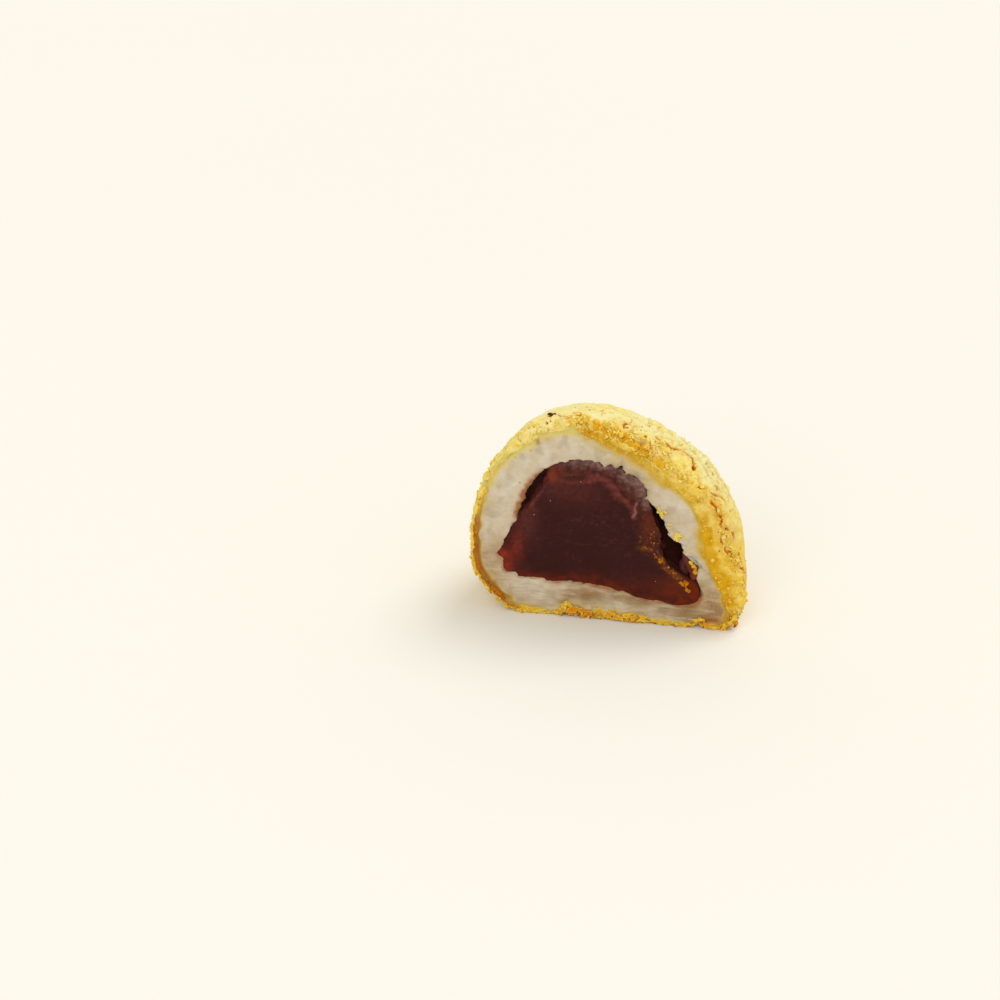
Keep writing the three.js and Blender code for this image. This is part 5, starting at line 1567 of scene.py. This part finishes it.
def build_flakes():
    """Flakes of packed flour: loose on the broken band, and the crust's broken lip along the foot."""
    heap = Flakes(351)
    rng = heap.rng
    few = 1.0
    shown = (coat_out > 0.5) | ((coat_face > 0.5) & (coat_v < 0.75))
    above = coat_points[:, 2] > 0.5
    weight = coat_area * shown * above * coat_marks["broken"] * (0.2 + coat_marks["gold"]) * np.exp(-(coat_y / 3.5) ** 2)
    weight *= 0.25 + smooth(0.0, 0.5, noise(coat_points, 2.6, 352))
    deg_here = np.degrees(coat_t) % 360
    bare = 1 - smooth(150, 160, deg_here) * (1 - smooth(222, 230, deg_here)) * smooth(0.1, 0.2, coat_v) * coat_face
    weight = weight * bare
    n = int(150 * few)
    sizes = np.clip(rng.lognormal(math.log(0.95), 0.38, n), 0.45, 2.1)
    c, ids = pick_on(rng, coat_points, coat_normals, weight, n, sizes, 0.0)
    heap.lay(c, coat_normals[ids], sizes, lean=(0.03, 0.40), thick=(0.10, 0.22), bend=0.15, seg=12,
             marks={"tone": np.clip(0.30 + 0.25 * coat_marks["gold"][ids] + 0.25 * coat_marks["rich"][ids]
                                    + rng.normal(0, 0.06, n), 0, 1)})
    # small ones scattered on the rest of the skin
    weight = coat_area * (coat_out > 0.5) * above * (0.2 + coat_marks["low"]) * smooth(0.0, 0.6, noise(coat_points, 4.0, 353))
    for deg, depth, long, wide, turn_, tone in CHUNKS:
        at_point = skin_point(deg, depth)
        d = np.linalg.norm(coat_points - at_point, axis=1) + 9 * (coat_out < 0.5)
        i = int(np.argmin(d))
        along_, up_ = facing(coat_normals[i:i + 1])[0][:, 0], facing(coat_normals[i:i + 1])[0][:, 1]
        turn_ = math.radians(turn_)
        along_, up_ = along_ * math.cos(turn_) + up_ * math.sin(turn_), up_ * math.cos(turn_) - along_ * math.sin(turn_)
        bits = int(3 + 1.7 * long * wide)
        u, w = rng.uniform(-0.42, 0.42, bits) * long, rng.uniform(-0.32, 0.32, bits) * wide
        at_ = coat_points[i] + coat_normals[i] * 0.06 + along_ * u[:, None] + up_ * w[:, None]
        heap.lay(at_, np.repeat(coat_normals[i:i + 1], bits, 0), rng.uniform(0.7, 1.35, bits) * (0.35 + 0.65 * wide),
                 spin=turn_ + rng.normal(size=bits) * 0.5, lean=(0.1, 0.7), thick=(0.16, 0.40), bend=0.25, seg=9,
                 marks={"tone": np.clip(tone - 0.12 + rng.normal(size=bits) * 0.10, 0, 1)})
    n = int(160 * few)
    sizes = np.clip(rng.lognormal(math.log(0.6), 0.3, n), 0.3, 1.3)
    c, ids = pick_on(rng, coat_points, coat_normals, weight, n, sizes, 0.0)
    heap.lay(c, coat_normals[ids], sizes, lean=(0.0, 0.25), thick=(0.08, 0.16), bend=0.12, marks={"tone": rng.uniform(0.0, 0.3, n)})
    # the lip: (x, z, length, height, turn in degrees, tone)
    lip = ((-9.0, 3.5, 0.7, 1.1, 70, 0.35), (-8.3, 2.9, 0.8, 1.2, 112, 0.55), (-9.5, 2.6, 0.7, 0.9, 40, 0.25), (-7.4, 1.9, 2.4, 1.2, 12, 0.75), (-5.4, 1.9, 2.6, 1.1, -8, 0.7), (-3.6, 1.2, 2.2, 1.1, 15, 0.85),
           (-7.9, 0.8, 1.3, 0.9, 30, 0.9), (-1.6, 2.1, 1.5, 1.0, -30, 0.5), (0.3, 1.5, 2.6, 1.2, -12, 0.55), (2.4, 0.9, 2.8, 1.1, -6, 0.45),
           (1.0, 0.5, 1.8, 0.9, 10, 0.7), (4.7, 1.5, 2.2, 1.0, 20, 0.5), (5.9, 0.9, 1.8, 1.0, -25, 0.45), (7.9, 1.4, 1.5, 0.8, 40, 0.4),
           (8.4, 0.7, 0.8, 1.5, 80, 0.45), (10.3, 0.7, 2.2, 0.8, -5, 0.5), (12.8, 0.6, 2.4, 0.8, 6, 0.5), (15.3, 0.6, 2.2, 0.7, -6, 0.45),
           (17.6, 0.8, 1.7, 0.8, 12, 0.4), (19.3, 1.9, 0.8, 1.7, 70, 0.4), (20.3, 2.2, 1.3, 0.8, -30, 0.35), (21.4, 1.1, 1.5, 0.8, -45, 0.45),
           (23.2, 0.5, 2.2, 0.7, 4, 0.4), (25.3, 1.1, 2.0, 0.9, 30, 0.35), (26.8, 2.0, 1.7, 1.1, 60, 0.3), (27.6, 3.3, 1.5, 1.1, 80, 0.3),
           (-11.2, 0.9, 1.8, 0.6, 8, 0.5), (-13.4, 0.45, 2.4, 0.42, 4, 0.25), (-16.2, 0.35, 2.6, 0.42, -4, 0.2), (-19.0, 0.5, 2.4, 0.42, -12, 0.25),
           (-21.6, 1.2, 2.2, 0.45, -24, 0.3), (-23.9, 2.6, 2.2, 0.45, -42, 0.3), (-25.8, 4.6, 2.0, 0.45, -52, 0.35), (-27.4, 6.8, 1.6, 0.45, -62, 0.35),
           (-28.5, 8.9, 1.6, 0.45, -72, 0.4))
    for x, z, long, tall, turn_, tone in lip:
        for part in range(2):
            jog = rng.normal(size=3) * np.array([0.35, 0.06, 0.12]) * (0.4 + part)
            size = rng.uniform(0.9, 1.15) if part == 0 else rng.uniform(0.4, 0.65)
            near = 0.05 if x > -12 and x < 28 else 0.18
            heap.lay([(x + jog[0], -0.28 + near + jog[1], max(0.2, z + jog[2]))], [(0.0, -1.0, rng.uniform(0.0, 0.9))],
                     [long * size], [tall * size], [math.radians(turn_ + rng.normal() * 9)],
                     lean=(0.05, 0.45), thick=(0.22, 0.42), bend=0.30, seg=16, rings=3,
                     marks={"tone": min(0.95, tone + 0.18 + rng.normal() * 0.12)})
        # its torn underside, painted dark brown: painted shade under the lip
        if -11 < x < 28:
            heap.lay([(x + rng.normal() * 0.3, -0.02, max(0.1, z * 0.45 - 0.15))], [(0.0, -0.9, 0.3)], [long * 0.9], [tall * 0.6],
                     [math.radians(turn_)], lean=(0.05, 0.4), thick=(0.2, 0.35), bend=0.3, seg=14, rings=3,
                     marks={"tone": 1.0, "damp_and_shade": rng.uniform(0.35, 0.95)})
    # small bits along it
    weight = coat_area * shown * (coat_points[:, 2] < 3.4) * (coat_points[:, 2] > 0.15) * np.exp(-(coat_y / 0.8) ** 2) * (
        0.25 + smooth(-0.1, 0.5, noise(coat_points, 1.8, 354)))
    weight = weight * bare
    n = int(70 * few)
    sizes = np.clip(rng.lognormal(math.log(0.75), 0.35, n), 0.35, 1.6)
    c, ids = pick_on(rng, coat_points, coat_normals, weight, n, sizes, 0.05)
    heap.lay(c, coat_normals[ids], sizes, lean=(0.1, 0.9), thick=(0.16, 0.30), marks={"tone": rng.uniform(0.3, 0.8, n)})
    # a crisp row down the left edge and round the lower left
    weight = coat_area * ((coat_out > 0.5) | (coat_v < 0.12)) * np.exp(-((coat_y / 0.45) ** 2)) * (coat_points[:, 2] > 0.2) * (
        smooth(158, 170, deg_here) * (1 - smooth(226, 234, deg_here))) * (0.3 + smooth(-0.2, 0.4, noise(coat_points, 2.2, 355)))
    n = int(80 * few)
    sizes = np.clip(rng.lognormal(math.log(0.42), 0.35, n), 0.2, 0.9)
    c, ids = pick_on(rng, coat_points, coat_normals, weight, n, sizes, 0.03)
    heap.lay(c, coat_normals[ids], sizes, lean=(0.1, 1.0), thick=(0.12, 0.22), marks={"tone": rng.uniform(0.3, 0.75, n)})
    return heap


def flake_material():
    m = Shade("kinako_flakes")
    tone, damp_and_shade = m.mark("tone"), m.mark("damp_and_shade")
    fine = m.noise(0.4, 2, 0.6)
    color = m.mix(m.spread(tone, 0.0, 0.45), srgb(247, 224, 130), srgb(240, 194, 56))
    color = m.mix(m.spread(tone, 0.45, 1.0), color, srgb(226, 142, 10))
    # damp flour, and painted shade on the lip's underside flakes
    color = m.mix(damp_and_shade, color, srgb(150, 78, 12))
    color = m.mix(1.0, color, m.mix(m.spread(fine, 0.3, 0.65), (0.84, 0.80, 0.70, 1), (1.04, 1.04, 1.04, 1)), "MULTIPLY")
    # painted highlight along the rim
    color = m.mix(m.math("MULTIPLY", m.mark("edge"), m.spread(tone, 0.1, 0.7, 0.15, 0.55)), color, srgb(250, 218, 116))
    return m.finish(color, 0.95, m.bump(fine, 0.04, 0.5), Specular_IOR_Level=0.03, Subsurface_Weight=0.3,
                    Subsurface_Radius=(1.0, 0.52, 0.10), Subsurface_Scale=0.0005)


flakes = build_flakes().make("kinako_flakes", flake_material(), "kinako_coat", rounded=False)


def build_paste_smears():
    """Paste of the core that stuck to the rice at the right side of the hollow."""
    heap = Heap(371)
    turns = []
    for lean in (62, 104, 76):
        c, s_ = math.cos(math.radians(lean)), math.sin(math.radians(lean))
        turns.append([[c, 0.0, s_], [0.0, 1.0, 0.0], [-s_, 0.0, c]])
    heap.drop([(17.0, 1.15, 15.2), (18.1, 1.25, 12.9), (16.0, 2.3, 13.2)], [5.8, 3.6, 4.4],
              {"tone": np.array([0.25, 0.85, 0.0])}, shapes=np.array([[1.0, 0.48, 0.46], [1.0, 0.6, 0.55], [1.0, 0.5, 0.5]]),
              turns=np.array(turns), level=4, rough=0.0)
    v = np.concatenate(heap.v)
    push = 0.40 * noise(v, 1.9, 372) + 0.20 * noise(v, 0.9, 373) + 0.08 * noise(v, 0.4, 374)
    away = v - np.array([17.4, 1.4, 14.4])
    heap.v = [v + away / np.linalg.norm(away, axis=1, keepdims=True) * push[:, None]]
    return heap


def paste_material():
    m = Shade("paste_smears")
    color = m.mix(m.mark("tone"), srgb(78, 34, 30), srgb(124, 46, 22))
    color = m.mix(m.spread(m.noise(0.8, 2, 0.6), 0.4, 0.7, 0.0, 0.5), color, srgb(104, 58, 52))
    return m.finish(color, 0.5, m.bump(m.noise(0.4, 2, 0.6), 0.05, 0.5), Specular_IOR_Level=0.12)


paste_smears = build_paste_smears().make("paste_smears", paste_material(), "anko")


def build_specks():
    """Bits of browned and burnt bean skin caught in the flour."""
    heap = Heap(401)
    rng = heap.rng
    weight = coat_area * (coat_out > 0.5) * (coat_points[:, 2] > 1.0) * (
        0.15 + coat_marks["gold"] + smooth(0.2, 0.6, noise(coat_points, 5.0, 411)))
    n = 150
    sizes = np.clip(rng.lognormal(math.log(0.30), 0.35, n), 0.15, 0.65)
    c, ids = pick_on(rng, coat_points, coat_normals, weight, n, sizes, 0.10)
    heap.drop(c, sizes, {"tone": rng.uniform(0.0, 0.75, n)}, flat=(0.35, 0.7))
    for at, depth, size, tone in ((108.2, 5.6, 1.1, 0.95), (107.0, 4.7, 1.0, 1.0), (105.6, 4.6, 0.8, 0.9),
                                  (106.4, 4.2, 0.5, 0.8), (47.9, 3.6, 0.35, 0.5), (78.6, 2.9, 0.5, 0.5), (79.6, 3.8, 0.4, 0.45),
                                  (113.2, 1.4, 0.4, 0.3), (107.9, 0.9, 0.6, 0.25), (106.9, 1.6, 0.5, 0.3)):
        at_point = skin_point(at, depth)
        d = np.linalg.norm(coat_points - at_point, axis=1) + 9 * (coat_out < 0.5)
        i = int(np.argmin(d))
        heap.drop([coat_points[i] + coat_normals[i] * size * 0.12], [size], {"tone": tone}, flat=(0.5, 0.85), level=2)
    return heap


def speck_material():
    m = Shade("browned_specks")
    tone = m.mark("tone")
    color = m.mix(m.spread(tone, 0.0, 0.5), srgb(186, 108, 30), srgb(124, 66, 26))
    color = m.mix(m.spread(tone, 0.6, 0.9), color, srgb(40, 24, 20))
    color = m.mix(m.spread(m.noise(0.25, 2, 0.6), 0.3, 0.7, 0.0, 0.35), color, srgb(150, 96, 44))
    return m.finish(color, 0.8, m.bump(m.noise(0.2, 2, 0.6), 0.04, 0.6), Specular_IOR_Level=0.25)


specks = build_specks().make("browned_specks", speck_material(), "kinako_coat")


def build_rice_bits():
    """Stray white bits on the paste; the torn flaps of rice over the core's rim are laid out but not added."""
    heap = Heap(501)
    rng = heap.rng
    norms = normals(anko_points, anko_tris)
    centres, turns, sizes, shapes, tones = [], [], [], [], []
    # torn flaps of rice over the rim, worked out but not added: (x, z, length, lean in degrees, how stained)
    for x, z, long, lean, stained in ((-11.0, 36.6, 2.6, 8, 0.10), (-9.6, 36.9, 1.6, -6, 0.15), (-0.4, 36.8, 1.7, -62, 0.05), (0.7, 37.2, 1.5, 70, 0.1),
                                      (1.5, 36.4, 1.4, -40, 0.2), (3.6, 35.2, 1.7, -20, 0.15), (5.2, 34.6, 1.5, -50, 0.1), (-2.7, 37.0, 1.4, 20, 0.3),
                                      (6.5, 30.4, 1.2, -70, 0.1), (2.2, 34.9, 2.2, -38, 0.6), (0.2, 35.2, 2.0, -34, 0.75), (4.0, 33.4, 2.2, -44, 0.7),
                                      (-4.4, 37.2, 1.6, -8, 0.5), (5.4, 31.8, 1.6, -60, 0.6)):
        d = np.hypot(anko_points[:, 0] - x, anko_points[:, 2] - z) + 9 * (anko_points[:, 1] > 3.0)
        y = min(float(anko_points[int(np.argmin(d)), 1]), 0.9) - 0.02
        c, s_ = math.cos(math.radians(lean)), math.sin(math.radians(lean))
        turns.append(np.array([[c, 0.0, -s_], [0.0, 1.0, 0.0], [s_, 0.0, c]]))
        centres.append((x, y, z))
        sizes.append(long)
        shapes.append((1.0, 0.22, rng.uniform(0.26, 0.42)))
        tones.append(stained)
    # white specks on the knife facet
    for x, z, size in ((-16.5, 24.3, 0.18), (-13.2, 27.9, 0.22), (-8.9, 34.2, 0.14), (-6.9, 32.9, 0.18), (10.0, 10.6, 0.18),
                       (-3.0, 23.1, 0.10)):
        d = np.hypot(anko_points[:, 0] - x, anko_points[:, 2] - z) + 9 * (anko_points[:, 1] > 2.0)
        j = int(np.argmin(d))
        heap.drop([anko_points[j] + norms[j] * size * 0.2], [size], {"tone": 0.0}, flat=(0.6, 0.95))
    return heap


def rice_bit_material():
    m = Shade("rice_bits")
    tone = m.mark("tone")
    color = m.mix(m.spread(tone, 0.1, 0.9), srgb(208, 190, 150), srgb(112, 78, 70))
    color = m.mix(m.spread(m.noise(0.6, 2, 0.6), 0.45, 0.75, 0.0, 0.35), color, srgb(150, 120, 92))
    return m.finish(color, 0.5, m.bump(m.noise(0.3, 2, 0.6), 0.05, 0.5), Specular_IOR_Level=0.25,
                    Subsurface_Weight=0.2, Subsurface_Radius=(1.0, 0.7, 0.45), Subsurface_Scale=0.0008)


rice_bits = build_rice_bits().make("rice_bits", rice_bit_material(), "rice")


# ---------------------------------------------------------------------- stage
def floor_material():
    m = Shade("floor")
    color = m.mix(m.spread(m.noise(900, 2, 0.5), 0.3, 0.7), (0.855, 0.815, 0.735, 1), (0.865, 0.825, 0.745, 1))
    return m.finish(color, 0.9, None, Specular_IOR_Level=0.1)


floor_mesh = bpy.data.meshes.new("floor")
floor_mesh.from_pydata([(-4, -4, 0), (4, -4, 0), (4, 4, 0), (-4, 4, 0)], [], [(0, 1, 2, 3)])
floor = bpy.data.objects.new("floor", floor_mesh)
bpy.context.scene.collection.objects.link(floor)
floor.data.materials.append(floor_material())

world = bpy.data.worlds.new("world")
bpy.context.scene.world = world
world.use_nodes = True
world.node_tree.nodes["Background"].inputs["Color"].default_value = (1.0, 0.955, 0.87, 1)
world.node_tree.nodes["Background"].inputs["Strength"].default_value = 0.70


def sun(name, toward, spread, power, color=(1, 1, 1)):
    """A soft, far light that shines from the direction `toward`."""
    data = bpy.data.lights.new(name, "SUN")
    data.angle = math.radians(spread)
    data.energy = power
    data.color = color
    ob = bpy.data.objects.new(name, data)
    ob.rotation_euler = Vector(toward).to_track_quat("Z", "Y").to_euler()
    bpy.context.scene.collection.objects.link(ob)
    return ob


sun("key", (0.42, 0.30, 1.0), 34, 1.28, (0.88, 0.92, 0.97))
sun("fill", (-0.30, -1.0, 0.85), 45, 0.85, (0.78, 0.91, 1.0))

bpy.context.scene.view_settings.view_transform = "Standard"
bpy.context.scene.view_settings.look = "None"
bpy.context.scene.view_settings.exposure = 0.0
bpy.context.scene.view_settings.gamma = 1.0
